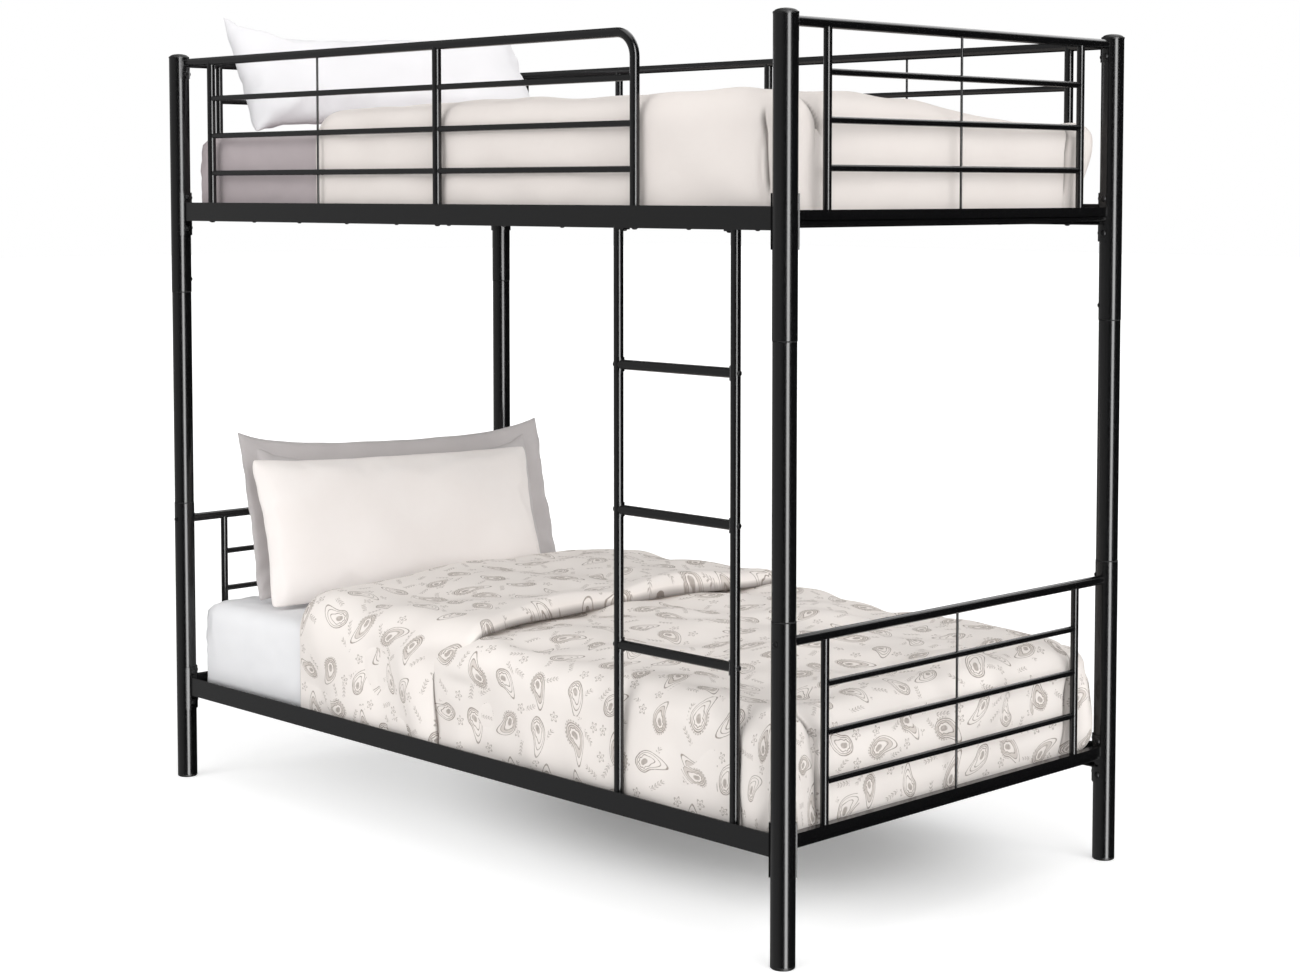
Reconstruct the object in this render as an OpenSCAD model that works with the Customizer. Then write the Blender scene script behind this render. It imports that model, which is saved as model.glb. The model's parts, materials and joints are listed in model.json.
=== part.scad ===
// Metal bunk bed with a ladder at the front.
// +X is the foot end, -Y is the front with the ladder, +Z is up.
// The origin is on the floor, midway between the four posts.

/* [Overall] */
// Length of the mattresses
mattress_l = 1876; // [1800:1:2100]
// Width of the mattresses
mattress_w = 930; // [880:1:1100]
// Post centres beyond the length of a mattress, both ends together
end_room = 54; // [52:1:80]
// Post centres beyond the width of a mattress, both sides together
side_room = 60; // [56:1:80]
// Top of the post caps over the underside of the upper side rails
guard_rise = 390.5; // [376:0.5:460]

/* [Posts] */
// Diameter of the upper and lower post sections
post_d = 46; // [42:0.5:50]
// Diameter of the extension tubes between them
mid_d = 44.5; // [41:0.5:45.5]
// Wall of the post tubes
post_wall = 1.8; // [1.2:0.1:2.5]
// Height of the first joint of the foot end posts
joint_z = 629; // [610:1:645]
// Extra height of that joint at the head end
head_rise = 28; // [0:1:40]
// Length of the extension tubes
mid_len = 500; // [480:1:520]
// Length of the joiner sleeves inside the posts
sleeve_len = 130; // [90:5:150]

/* [Side rails] */
// Height of the side rails
rail_h = 43; // [38:1:52]
// Thickness of the rolled rail steel
rail_t = 2.5; // [2:0.1:3.5]
// Width of the ledge that carries the slats
ledge_w = 40; // [36:1:46]
// Outer face of the rail beyond the post centres
rail_out = 7; // [4:0.5:10]
// Underside of the lower side rails
lower_rail_z = 198; // [180:1:220]
// Underside of the upper side rails
upper_rail_z = 1324.5; // [1310:0.5:1335]

/* [Saddle plates] */
// Thickness of the plates that wrap the posts
saddle_t = 3; // [2:0.5:4]
// Half the angle that a rail plate wraps
saddle_half = 38; // [30:1:42]
// Plate below the rail
saddle_below = 34; // [28:1:40]
// Plate above the rail
saddle_above = 23; // [20:1:30]

/* [Panels and guards] */
// Diameter of the top tubes and guard frames
tube_d = 19; // [16:0.5:22]
// Wall of those tubes
tube_wall = 1.5; // [1.2:0.1:2]
// Diameter of the panel uprights
upright_d = 16; // [14:0.5:18]
// Diameter of the horizontal bars
bar_d = 12.5; // [10:0.5:14]
// Diameter of the thin middle rods
rod_d = 5; // [4:0.5:8]
// Top tube centre below the overall height
top_drop = 21.5; // [20:0.5:25]
// Pitch of the bars of the upper bunk
upper_pitch = 86; // [80:1:90]
// Pitch of the bars of the lower panels
lower_pitch = 90; // [84:1:94]
// Post centre to the nearest panel upright
upright_in = 111; // [80:1:160]
// Height of the box part of the panel bottom rails
end_box_h = 18; // [14:1:22]
// Depth of the box part of the panel bottom rails
end_box_w = 16; // [12:1:20]
// Front guard: its first upright from the head posts
guard_first = 126; // [90:1:200]
// Front guard: its middle upright from the head posts
guard_mid = 952; // [860:1:1020]
// Front guard: its bent end from the foot posts
guard_end = 389; // [370:1:480]
// Radius of that bend
guard_bend = 48; // [32:1:60]
// Rear guard: its outer uprights from the posts
rear_first = 105; // [80:1:160]
// Rear guard: its second upright from the head posts
rear_second = 462; // [400:1:520]
// Rear guard: its third upright from the foot posts
rear_third = 959; // [880:1:1020]
// Rear guard: its thin rod from the foot posts
rear_rod = 540; // [420:1:600]

/* [Ladder] */
// Foot posts to the nearest stile
ladder_in = 125; // [110:1:170]
// Distance between the stiles
stile_gap = 308.5; // [280:0.5:320]
// Height of the bottom rung
rung_bottom_z = 526; // [500:1:560]
// Height of the middle rung
rung_middle_z = 787; // [760:1:820]
// Height of the top rung
rung_top_z = 1065; // [1030:1:1090]
// Diameter of the stiles and rungs
ladder_d = 19; // [17:0.5:24]

/* [Slats] */
// Slats of each bunk
slat_count = 11; // [10:1:12]
// Width of a slat
slat_w = 38; // [30:1:50]
// Height of a slat
slat_h = 16; // [12:1:20]

/* [Bedding] */
// Thickness of the upper mattress
upper_mattress_h = 176; // [150:1:190]
// Thickness of the lower mattress
lower_mattress_h = 198; // [150:1:215]
// Thickness of the fitted sheets
sheet_t = 1.5; // [1:0.5:3]
// Loft of the upper comforter
comforter_h = 56; // [30:1:65]
// Loft of the lower duvet
duvet_h = 48; // [20:1:60]
// Head end of the upper mattress to the comforter
comforter_from = 485; // [430:1:540]
// Head end of the lower mattress to the duvet
duvet_from = 417; // [380:1:460]
// Head end of the lower mattress to the foot edge of the folded cuff
cuff_to = 967; // [880:1:1020]
// Width of the upper pillow
upper_pillow_w = 715; // [640:5:760]
// Height of the upper pillow
upper_pillow_h = 355; // [330:5:400]
// Thickness of the upper pillow
upper_pillow_t = 120; // [90:2:150]
// Width of the grey sham
sham_w = 765; // [700:5:800]
// Height of the grey sham
sham_h = 420; // [380:5:450]
// Thickness of the grey sham
sham_t = 76; // [60:2:90]
// Width of the lower pillow
lower_pillow_w = 700; // [640:5:760]
// Height of the lower pillow
lower_pillow_h = 380; // [350:5:410]
// Thickness of the lower pillow
lower_pillow_t = 96; // [80:2:120]

/* [Hidden] */

height = upper_rail_z + guard_rise;  // to the top of the post caps
span_x = mattress_l + end_room;      // post centres along the bed
span_y = mattress_w + side_room;     // post centres across the bed
head_x = -span_x / 2;
foot_x = span_x / 2;

ENDS = [-1, 1];      // head, foot
SIDES = [-1, 1];     // front, rear
DECKS = [lower_rail_z, upper_rail_z];

post_r = post_d / 2;
post_ir = post_r - post_wall;
mid_ir = mid_d / 2 - post_wall;
sleeve_r = min(post_ir, mid_ir) - 0.1;
sleeve_wall = 2;
glide_foot = 6;
cap_rim = 4;
cap_dome = 6;
post_top = height - cap_rim - cap_dome;
cut = 5;                // how far a cut runs past the wall it goes through

tube_r = tube_d / 2;
upright_r = upright_d / 2;
bar_r = bar_d / 2;
top_z = height - top_drop;
guard_y = span_y / 2 + rail_out - rail_t - tube_r;   // guards and ladder stand inside the rail
tab_half = 24;
tab_t = 2.5;
tab_down = 36;
tab_bolt = 25;          // tab bolt below the tube axis
low_bolt = 17;          // saddle bolt below the rail
high_bolt = 11;         // saddle bolt above the rail
bolt_d = 6;
bolt_hole_d = 6.6;
bolt_len = 17;
head_d = 13;
head_h = 4;
flat_head_d = 11;       // low heads under the ledges and on the rungs
flat_head_h = 3;
nut_d = 12;
nut_h = 6;
ledge_nut_d = 10.5;
ledge_nut_h = 4.5;
screw_d = 4;
screw_head_d = 9;
screw_head_h = 2.5;
screw_len = 9;
joiner_screw_in = 30;   // joiner screws from the joint
plug_len = 22;          // threaded plugs in the ends of the lower top tubes
plug_bore = 18;
foot_bore = 20;         // threads in the feet of the uprights and stiles
foot_bolt = 18;
weld_in = 0.3;          // share of a plate that a welded tube end goes into
nut_out = sqrt(post_ir * post_ir - nut_d * nut_d / 4);   // outer face of a nut against the round wall
end_bar_r = 6;
end_bar_lap = 0.8;      // that bar overlaps the box part where they are welded
upper_end_drop = 7;     // top of an upper end rail under the side rails
lower_tube_drop = 39;   // top tube of a lower panel under the post joint

slat_len = 2 * (guard_y - tube_r) - 3;
slat_wall = 1.5;
slat_first = 90;        // first slat centre from the post centres
slat_pitch = (span_x - 2 * slat_first) / (slat_count - 1);
slat_screw_y = slat_len / 2 - 9;    // screws 9 mm from the slat ends

upper_bed_z = upper_rail_z + rail_t + slat_h;
lower_bed_z = lower_rail_z + rail_t + slat_h;
mattress_r = 70;
head_room = end_room / 3;           // the mattresses stand nearer the head end
round_fn = 48;

function rise(ex) = ex < 0 ? head_rise : 0;
function joint_height(ex) = joint_z + rise(ex);

// ---- frames of reference ----

module at_post(ex, ey) translate([ex * span_x / 2, ey * span_y / 2, 0]) children();

// local +X points from the post along the side rail
module along_side(ex) rotate([0, 0, ex < 0 ? 0 : 180]) children();

// local +X points from the post along the end panel
module along_end(ey) rotate([0, 0, ey < 0 ? 90 : -90]) children();

// ---- stock ----

module pipe(r, wall, len) difference() {
    cylinder(r = r, h = len, $fn = round_fn);
    translate([0, 0, -1]) cylinder(r = r - wall, h = len + 2, $fn = round_fn);
}

module rod_x(r, x0, x1) translate([x0, 0, 0]) rotate([0, 90, 0]) cylinder(r = r, h = x1 - x0, $fn = 32);

module rod_z(r, z0, z1) translate([0, 0, z0]) cylinder(r = r, h = z1 - z0, $fn = 32);

module pipe_x(r, wall, x0, x1) translate([x0, 0, 0]) rotate([0, 90, 0]) pipe(r, wall, x1 - x0);

// curved plate on a round tube of radius r, facing local +X
module wrap(r, t, half, z0, z1)
    translate([0, 0, z0]) rotate([0, 0, -half])
        rotate_extrude(angle = 2 * half, $fn = 96) translate([r, 0]) square([t, z1 - z0]);

// button head bolt along X, its head seated at x = seat and pointing to +X
module bolt(seat, len, d = bolt_d, hd = head_d, hh = head_h)
    translate([seat, 0, 0]) rotate([0, 90, 0]) rotate_extrude($fn = 24)
        polygon([[0, -len], [d / 2, -len], [d / 2, 0], [hd / 2, 0], [hd / 2, hh * 0.35],
                 [hd / 2 * 0.72, hh * 0.85], [hd / 2 * 0.3, hh], [0, hh]]);

module hole_x(x0, x1, z, d = bolt_hole_d) translate([0, 0, z]) rod_x(d / 2, x0, x1);

// hole through the side of a post that faces local +X, and through a plate on it
module wall_hole(z, d = bolt_hole_d) hole_x(cut, post_r + 2 * cut, z, d);

module ledge_hole(x, y, z) translate([x, y, z]) rod_z(bolt_hole_d / 2, -1, rail_t + 1);

// ---- bolt places on one post ----

function saddle_bolts(z) = [z - low_bolt, z + rail_h + high_bolt];

module post_holes(ex, ey) {
    for (deck = DECKS, z = saddle_bolts(deck)) {
        along_side(ex) wall_hole(z);
        along_end(ey) wall_hole(z);
    }
    along_end(ey) wall_hole(top_z - tab_bolt);
    if (!(ex > 0 && ey < 0)) along_side(ex) wall_hole(top_z - tab_bolt);
    along_end(ey) hole_x(-post_r - cut, post_r + cut, lower_tube_z(ex));
    for (z = joiner_screw_z(ex)) inward(ex, ey) wall_hole(z, screw_d + 0.6);
}

function lower_tube_z(ex) = joint_height(ex) - lower_tube_drop;
function joiner_screw_z(ex) = [
    joint_height(ex) - joiner_screw_in, joint_height(ex) + mid_len + joiner_screw_in];
function plate_r(t) = post_r + t * (1 - weld_in);    // where tube ends meet a plate on a post

// local +X points at the middle of the bed
module inward(ex, ey) rotate([0, 0, atan2(-ey, -ex)]) children();

// ---- posts ----

module lower_post(ex, ey) color("#191919") at_post(ex, ey) difference() {
    translate([0, 0, glide_foot]) pipe(post_r, post_wall, joint_height(ex) - glide_foot);
    post_holes(ex, ey);
}

module mid_post(ex, ey) color("#191919") at_post(ex, ey)
    translate([0, 0, joint_height(ex)]) pipe(mid_d / 2, post_wall, mid_len);

module upper_post(ex, ey) color("#191919") at_post(ex, ey) difference() {
    translate([0, 0, joint_height(ex) + mid_len])
        pipe(post_r, post_wall, post_top - joint_height(ex) - mid_len);
    post_holes(ex, ey);
}

module cap(ex, ey) color("#101010") at_post(ex, ey) translate([0, 0, post_top])
    rotate_extrude($fn = 64) polygon(concat(
        [[0, -18], [post_ir - 1, -18], [post_ir - 0.1, -14], [post_ir - 0.1, 0], [post_r + 0.6, 0],
         [post_r + 0.6, cap_rim - 1], [post_r - 0.4, cap_rim], [post_r - 2, cap_rim]],
        [for (i = [1 : 6]) [(post_r - 2) * cos(15 * i), cap_rim + cap_dome * sin(15 * i)]]));

module glide(ex, ey) color("#101010") at_post(ex, ey)
    rotate_extrude($fn = 64) polygon([
        [0, 0], [post_r - 2, 0], [post_r, 2], [post_r, glide_foot], [post_ir - 0.1, glide_foot],
        [post_ir - 0.1, 26], [post_ir - 3, 30], [0, 30]]);

module joiner_sleeves() color("#505256") for (ex = ENDS, ey = SIDES, z = [0, mid_len]) at_post(ex, ey)
    difference() {
        translate([0, 0, joint_height(ex) + z - sleeve_len / 2]) pipe(sleeve_r, sleeve_wall, sleeve_len);
        for (zs = joiner_screw_z(ex)) inward(ex, ey) wall_hole(zs, screw_d + 0.2);
        along_end(ey) hole_x(-post_r, post_r, lower_tube_z(ex), bolt_d + 2);
    }

module joiner_screws() color("#202020") for (ex = ENDS, ey = SIDES, z = joiner_screw_z(ex))
    at_post(ex, ey) inward(ex, ey) translate([0, 0, z])
        bolt(post_r, screw_len, screw_d, screw_head_d, screw_head_h);

// ---- rails ----

module saddle(z) difference() {
    wrap(post_r, saddle_t, saddle_half, z - saddle_below, z + rail_h + saddle_above);
    for (zb = saddle_bolts(z)) wall_hole(zb);
}

module side_rail(z, ey) color("#1e1e1e") {
    difference() {
        on_side(ey) translate([head_x, rail_y, z]) rotate([90, 0, 90]) linear_extrude(span_x) polygon([
            [0, 0], [0, rail_h], [-rail_t, rail_h], [-rail_t, rail_t], [-ledge_w, rail_t], [-ledge_w, 0]]);
        for (ex = ENDS) at_post(ex, ey) translate([0, 0, z - 1])
            cylinder(r = plate_r(saddle_t), h = rail_h + 2, $fn = 64);
        for (i = [0 : slat_count - 1]) translate([slat_x(i), ey * slat_screw_y, z])
            rod_z(screw_d / 2 + 0.4, -1, rail_t + 1);
        for (x = z == upper_rail_z ? upper_ledge_x(ey) : lower_ledge_x(ey))
            ledge_hole(x, ey * guard_y, z);
    }
    for (ex = ENDS) at_post(ex, ey) along_side(ex) saddle(z);
}

rail_y = span_y / 2 + rail_out;      // outer face of a side rail

module on_side(ey) mirror([0, ey < 0 ? 1 : 0, 0]) children();

// places along X of what is bolted to the ledges from below
function upper_ledge_x(ey) = ey < 0 ? concat(front_uprights(), ladder_tabs()) : rear_uprights();
function lower_ledge_x(ey) = ey < 0 ? stiles() : [];

// ---- end panels ----

// welded grid along local Y: top tube, three bars, two uprights, a thin rod and the bottom rail
module panel(ex, deck_z, tz, pitch, drop, tabs) at_end(ex) {
    end_z = deck_z + rail_h - drop;
    reach = span_y / 2;
    difference() {
        translate([0, 0, tz]) rotate([0, 0, 90]) pipe_x(tube_r, tube_wall, -reach, reach);
        for (s = SIDES) translate([0, s * reach, 0])
            rod_z(tabs ? plate_r(tab_t) : post_r, tz - tube_d, tz + tube_d);
    }
    difference() {
        union() {
            for (s = SIDES) translate([0, s * (reach - upright_in), 0])
                rod_z(upright_r, end_z - foot_weld, tz);
            rod_z(rod_d / 2, end_z - foot_weld, tz);
        }
        translate([0, 0, tz]) rotate([0, 0, 90]) rod_x(tube_r - tube_wall / 2, -reach, reach);
    }
    for (i = [1 : 3]) translate([0, 0, tz - i * pitch]) rotate([0, 0, 90])
        rod_x(bar_r, -(reach - upright_in), reach - upright_in);
    difference() {
        union() {
            translate([-end_box_w / 2, -reach, end_z - end_box_h]) cube([end_box_w, 2 * reach, end_box_h]);
            translate([0, 0, end_z - end_box_h - end_bar_r + end_bar_lap]) rotate([0, 0, 90])
                rod_x(end_bar_r, -reach, reach);
        }
        for (s = SIDES) translate([0, s * reach, 0])
            rod_z(plate_r(saddle_t), end_z - end_box_h - 3 * end_bar_r, end_z + end_bar_r);
    }
    for (s = SIDES) translate([0, s * reach, 0]) along_end(s) {
        saddle(deck_z);
        if (tabs) tube_tab(tz);
    }
}

foot_weld = 2;          // uprights welded this far into the bottom rail

module at_end(ex) translate([ex * span_x / 2, 0, 0]) children();

// short curved tab at the end of a top tube, with its bolt hole
module tube_tab(tz) difference() {
    wrap(post_r, tab_t, tab_half, tz - tab_down, tz + tube_r + 2);
    wall_hole(tz - tab_bolt);
}

module upper_panel(ex) color("#191919") panel(ex, upper_rail_z, top_z, upper_pitch, upper_end_drop, true);

module lower_panel(ex) color("#191919") {
    panel(ex, lower_rail_z, lower_tube_z(ex), lower_pitch, 0, false);
    for (s = SIDES) at_end(ex) translate([0, s * span_y / 2, 0]) along_end(s)
        translate([0, 0, lower_tube_z(ex)]) difference() {
            rod_x(tube_r - tube_wall + 0.05, post_r + 1, post_r + plug_len);
            rod_x(bolt_d / 2, post_r, post_r + plug_bore);
        }
}

// ---- guards ----

guard_end_x = foot_x - guard_end;

function front_uprights() = [head_x + guard_first, head_x + guard_mid, guard_end_x];
function front_rod() = head_x + (guard_first + guard_mid) / 2;
function rear_uprights() = [
    head_x + rear_first, head_x + rear_second, foot_x - rear_third, foot_x - rear_first];

module guard_upright(x, z1) translate([x, 0, 0]) difference() {
    rod_z(tube_r, upper_rail_z + rail_t, z1);
    rod_z(bolt_d / 2, upper_rail_z, upper_rail_z + rail_t + foot_bore);
}

module guard_tab(ex, ey) at_post(ex, ey) along_side(ex) tube_tab(top_z);

module guard_bars(x0, x1) for (i = [1 : 3]) translate([0, 0, top_z - i * upper_pitch]) rod_x(bar_r, x0, x1);

module guard_front() color("#191919") {
    u = front_uprights();
    translate([0, -guard_y, 0]) {
        difference() {
            translate([0, 0, top_z]) pipe_x(tube_r, tube_wall, head_x, guard_end_x - guard_bend);
            translate([head_x, guard_y - span_y / 2, top_z - tube_d])
                cylinder(r = plate_r(tab_t), h = 2 * tube_d, $fn = 64);
        }
        translate([guard_end_x - guard_bend, 0, top_z - guard_bend]) rotate([90, 0, 0])
            rotate_extrude(angle = 90, $fn = 96) translate([guard_bend, 0]) difference() {
                circle(r = tube_r, $fn = 32);
                circle(r = tube_r - tube_wall, $fn = 32);
            }
        difference() {
            union() {
                for (x = [u[0], u[1]]) guard_upright(x, top_z);
                translate([front_rod(), 0, 0]) rod_z(rod_d / 2, upper_rail_z + rail_t, top_z);
            }
            translate([0, 0, top_z]) rod_x(tube_r - tube_wall / 2, head_x, guard_end_x);
        }
        guard_upright(u[2], top_z - guard_bend);
        guard_bars(u[0], u[2]);
    }
    guard_tab(-1, -1);
}

module guard_rear() color("#191919") {
    u = rear_uprights();
    translate([0, guard_y, 0]) {
        difference() {
            translate([0, 0, top_z]) pipe_x(tube_r, tube_wall, head_x, foot_x);
            for (ex = ENDS) translate([ex * span_x / 2, span_y / 2 - guard_y, top_z - tube_d])
                cylinder(r = plate_r(tab_t), h = 2 * tube_d, $fn = 64);
        }
        difference() {
            union() {
                for (x = u) guard_upright(x, top_z);
                translate([foot_x - rear_rod, 0, 0]) rod_z(rod_d / 2, upper_rail_z + rail_t, top_z);
            }
            translate([0, 0, top_z]) rod_x(tube_r - tube_wall / 2, head_x, foot_x);
        }
        guard_bars(u[0], u[3]);
    }
    for (ex = ENDS) guard_tab(ex, 1);
}

// ---- ladder ----

ladder_r = ladder_d / 2;
stile_bottom = lower_rail_z + rail_t;
stile_top = upper_rail_z;
stile_right = foot_x - ladder_in;
stile_left = stile_right - stile_gap;
rung_z = [rung_bottom_z, rung_middle_z, rung_top_z];
flare_t = 2;            // ends of a rung that wrap the stiles
flare_half = 65;
flare_h = 27;
rung_wall = 3;
rung_bore = 14;         // threads in the ends of a rung
ladder_tab = 13;        // flat tabs at the tops of the stiles
ladder_tab_t = 3;

function stiles() = [stile_left, stile_right];
function ladder_tabs() = [stile_left + ladder_r + ladder_tab / 2, stile_right - ladder_r - ladder_tab / 2];

module stile(i) color("#191919") translate([stiles()[i], -guard_y, 0]) {
    difference() {
        rod_z(ladder_r, stile_bottom, stile_top);
        rod_z(bolt_d / 2, stile_bottom - 1, stile_bottom + foot_bore);
        for (z = rung_z) translate([0, 0, z]) rod_x(bolt_hole_d / 2, -ladder_r - 1, ladder_r + 1);
    }
    side = i == 0 ? 1 : -1;
    difference() {
        translate([side > 0 ? 0 : -ladder_r - ladder_tab, -ladder_r + 1, stile_top - ladder_tab_t])
            cube([ladder_r + ladder_tab, ladder_d - 2, ladder_tab_t]);
        rod_z(ladder_r - 1, stile_top - 2 * ladder_tab_t, stile_top + 1);
        translate([side * (ladder_r + ladder_tab / 2), 0, 0])
            rod_z(bolt_hole_d / 2, stile_top - 2 * ladder_tab_t, stile_top + 1);
    }
}

module rung(i) color("#191919") translate([0, -guard_y, rung_z[i]]) {
    x0 = stiles()[0];
    x1 = stiles()[1];
    difference() {
        pipe_x(ladder_r, rung_wall, x0, x1);
        for (x = [x0, x1]) translate([x, 0, 0]) rod_z(ladder_r + flare_t / 2, -ladder_d, ladder_d);
    }
    for (s = [0, 1]) translate([s == 0 ? x0 : x1, 0, 0]) rotate([0, 0, s * 180]) difference() {
        union() {
            wrap(ladder_r, flare_t, flare_half, -flare_h / 2, flare_h / 2);
            rod_x(ladder_r - rung_wall + 1, ladder_r + flare_t / 2, ladder_r + rung_bore + 2);
        }
        rod_x(bolt_d / 2, 0, ladder_r + rung_bore);
    }
}

module rung_bolts() color("#232323") for (z = rung_z, s = [0, 1])
    translate([stiles()[s], -guard_y, z]) rotate([0, 0, s == 0 ? 180 : 0])
        bolt(ladder_r, ladder_d + rung_bore - 2, bolt_d, flat_head_d, flat_head_h);

module stile_bolts() color("#232323") {
    for (x = ladder_tabs()) translate([x, -guard_y, 0]) {
        translate([0, 0, stile_top - ladder_tab_t]) rotate([0, 90, 0])
            bolt(0, ladder_tab_t + rail_t + ledge_nut_h + 2, bolt_d, flat_head_d, flat_head_h);
        translate([0, 0, stile_top + rail_t]) nut();
    }
    for (x = stiles()) ledge_bolt(x, -1, lower_rail_z);
}

// bolt up through a ledge into the foot of an upright or stile
module ledge_bolt(x, ey, z) translate([x, ey * guard_y, z]) rotate([0, 90, 0])
    bolt(0, foot_bolt, bolt_d, flat_head_d, flat_head_h);

module nut() difference() {
    cylinder(d = ledge_nut_d, h = ledge_nut_h, $fn = 6);
    translate([0, 0, -1]) cylinder(d = bolt_d, h = ledge_nut_h + 2, $fn = 24);
}

// ---- fasteners of the frame ----

module side_rail_bolts() color("#232323")
    for (ex = ENDS, ey = SIDES, deck = DECKS, z = saddle_bolts(deck))
        at_post(ex, ey) along_side(ex) translate([0, 0, z]) bolt(post_r + saddle_t, bolt_len);

module end_rail_bolts() color("#232323")
    for (ex = ENDS, ey = SIDES, deck = DECKS, z = saddle_bolts(deck))
        at_post(ex, ey) along_end(ey) translate([0, 0, z]) bolt(post_r + saddle_t, bolt_len);

module top_tube_bolts() color("#232323") for (ex = ENDS, ey = SIDES) at_post(ex, ey)
    translate([0, 0, top_z - tab_bolt]) {
        along_end(ey) bolt(post_r + tab_t, bolt_len);
        if (!(ex > 0 && ey < 0)) along_side(ex) bolt(post_r + tab_t, bolt_len);
    }

module lower_tube_bolts() color("#232323") for (ex = ENDS, ey = SIDES) at_post(ex, ey)
    translate([0, 0, lower_tube_z(ex)]) along_end(-ey)
        bolt(post_r, post_d + plug_bore - 2, bolt_d, flat_head_d, flat_head_h);

module guard_bolts() color("#232323") {
    for (x = front_uprights()) ledge_bolt(x, -1, upper_rail_z);
    for (x = rear_uprights()) ledge_bolt(x, 1, upper_rail_z);
}

module wall_nut() rotate([0, 90, 0]) translate([0, 0, nut_out - nut_h])
    pipe(nut_d / 2, (nut_d - bolt_d) / 2, nut_h);

module wall_nuts() color("#6c6e72") for (ex = ENDS, ey = SIDES) at_post(ex, ey) {
    for (deck = DECKS, z = saddle_bolts(deck)) translate([0, 0, z]) {
        along_side(ex) wall_nut();
        along_end(ey) wall_nut();
    }
    translate([0, 0, top_z - tab_bolt]) {
        along_end(ey) wall_nut();
        if (!(ex > 0 && ey < 0)) along_side(ex) wall_nut();
    }
}

// ---- slats ----

function slat_x(i) = head_x + slat_first + i * slat_pitch;

module slat() difference() {
    translate([-slat_w / 2, -slat_len / 2, 0]) cube([slat_w, slat_len, slat_h]);
    translate([-slat_w / 2 + slat_wall, -slat_len / 2 - 1, slat_wall])
        cube([slat_w - 2 * slat_wall, slat_len + 2, slat_h - 2 * slat_wall]);
    for (s = SIDES) translate([0, s * slat_screw_y, 0]) rod_z(screw_d / 2, -1, slat_wall + 1);
}

module slats(z) color("#1b1b1b") for (i = [0 : slat_count - 1]) translate([slat_x(i), 0, z + rail_t]) slat();

module slat_screws() color("#232323") for (deck = DECKS, i = [0 : slat_count - 1], s = SIDES)
    translate([slat_x(i), s * slat_screw_y, deck]) rotate([0, 90, 0])
        bolt(0, screw_len, screw_d, screw_head_d, screw_head_h);

// ---- bedding ----

module bed_block(x0, x1, half_w, z0, z1, r) translate([0, 0, z0]) linear_extrude(z1 - z0)
    hull() for (x = [x0 + r, x1 - r], s = SIDES) translate([x, s * (half_w - r)]) circle(r = r, $fn = 48);

// a block with its top edges rounded off in two steps
module soft_block(x0, x1, half_w, z0, z1, r, soft) {
    step = soft * 0.3;
    bed_block(x0, x1, half_w, z0, z1 - soft, r);
    hull() {
        bed_block(x0, x1, half_w, z1 - soft - 1, z1 - soft, r);
        bed_block(x0 + step, x1 - step, half_w - step, z1 - step - 1, z1 - step, r);
        bed_block(x0 + soft, x1 - soft, half_w - soft, z1 - 1, z1, r - soft / 2);
    }
}

mat_x0 = head_x + head_room;
mat_x1 = mat_x0 + mattress_l;
mat_soft = 12;          // rounding of the mattress edges

module mattress(z, h) color("#f2f0ee")
    soft_block(mat_x0, mat_x1, mattress_w / 2, z, z + h, mattress_r, mat_soft);

module fitted_sheet(z, h, c) color(c) difference() {
    soft_block(mat_x0 - sheet_t, mat_x1 + sheet_t, mattress_w / 2 + sheet_t, z, z + h + sheet_t,
               mattress_r, mat_soft);
    soft_block(mat_x0, mat_x1, mattress_w / 2, z - 1, z + h, mattress_r, mat_soft);
}

skirt = 9;              // thickness of the hanging sides of the covers
skirt_lift = 12;        // their lower edge above the slats
cover_soft = 30;        // rounding of their top edges
cuff_h = 24;            // the folded cuff above the duvet
cuff_in = 20;           // the cuff within the width of the mattress

// quilted cover over the mattress, hanging down its two sides and foot
module cover(x0, z, h, loft) difference() {
    soft_block(x0, mat_x1 + sheet_t + skirt, mattress_w / 2 + sheet_t + skirt, z + skirt_lift,
               z + h + sheet_t + loft, mattress_r + skirt, min(loft, cover_soft));
    soft_block(mat_x0 - span_y, mat_x1 + sheet_t, mattress_w / 2 + sheet_t, z - cut, z + h + sheet_t,
               mattress_r, mat_soft);
}

module comforter() color("#e2d9d4") cover(mat_x0 + comforter_from, upper_bed_z, upper_mattress_h, comforter_h);

module duvet() color("#ebe4de") {
    cover(mat_x0 + duvet_from, lower_bed_z, lower_mattress_h, duvet_h);
    top = lower_top_z + duvet_h;
    soft_block(mat_x0 + duvet_from + cuff_in / 2, mat_x0 + cuff_to, mattress_w / 2 - cuff_in,
               top - 4, top + cuff_h, cuff_in, cuff_in / 2);
}

// plump cushion of width w (local Y), height h (local Z) and thickness t (local X), with a flat border
module cushion(w, h, t, border) hull() {
    for (y = SIDES, z = SIDES) translate([0, y * (w / 2 - 10), z * (h / 2 - 10)])
        rotate([0, 90, 0]) cylinder(r = 10, h = border, center = true, $fn = 24);
    for (y = SIDES, z = SIDES) translate([0, y * (w / 2 - t * 0.75), z * (h / 2 - t * 0.75)])
        rotate([0, 90, 0]) {
            cylinder(r = t * 0.35, h = t, center = true, $fn = 24);
            cylinder(r = t * 0.6, h = t * 0.6, center = true, $fn = 24);
        }
}

// how far the lowest point of a leaning cushion lies under its middle
function cushion_drop(h, t, border, lean) = max(
    h / 2 * cos(lean) + border / 2 * sin(lean),
    (h / 2 - t * 0.15) * cos(lean) + t * 0.3 * sin(lean),
    (h / 2 - t * 0.4) * cos(lean) + t * 0.5 * sin(lean));

// stands a cushion on the surface at height z, leaning back and turned towards the room
module pillow(x, y, z, lean, turn, w, h, t, border)
    translate([x, y, z + cushion_drop(h, t, border, lean) + 0.2])
        rotate([0, 0, turn]) rotate([0, -lean, 0]) cushion(w, h, t, border);

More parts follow.
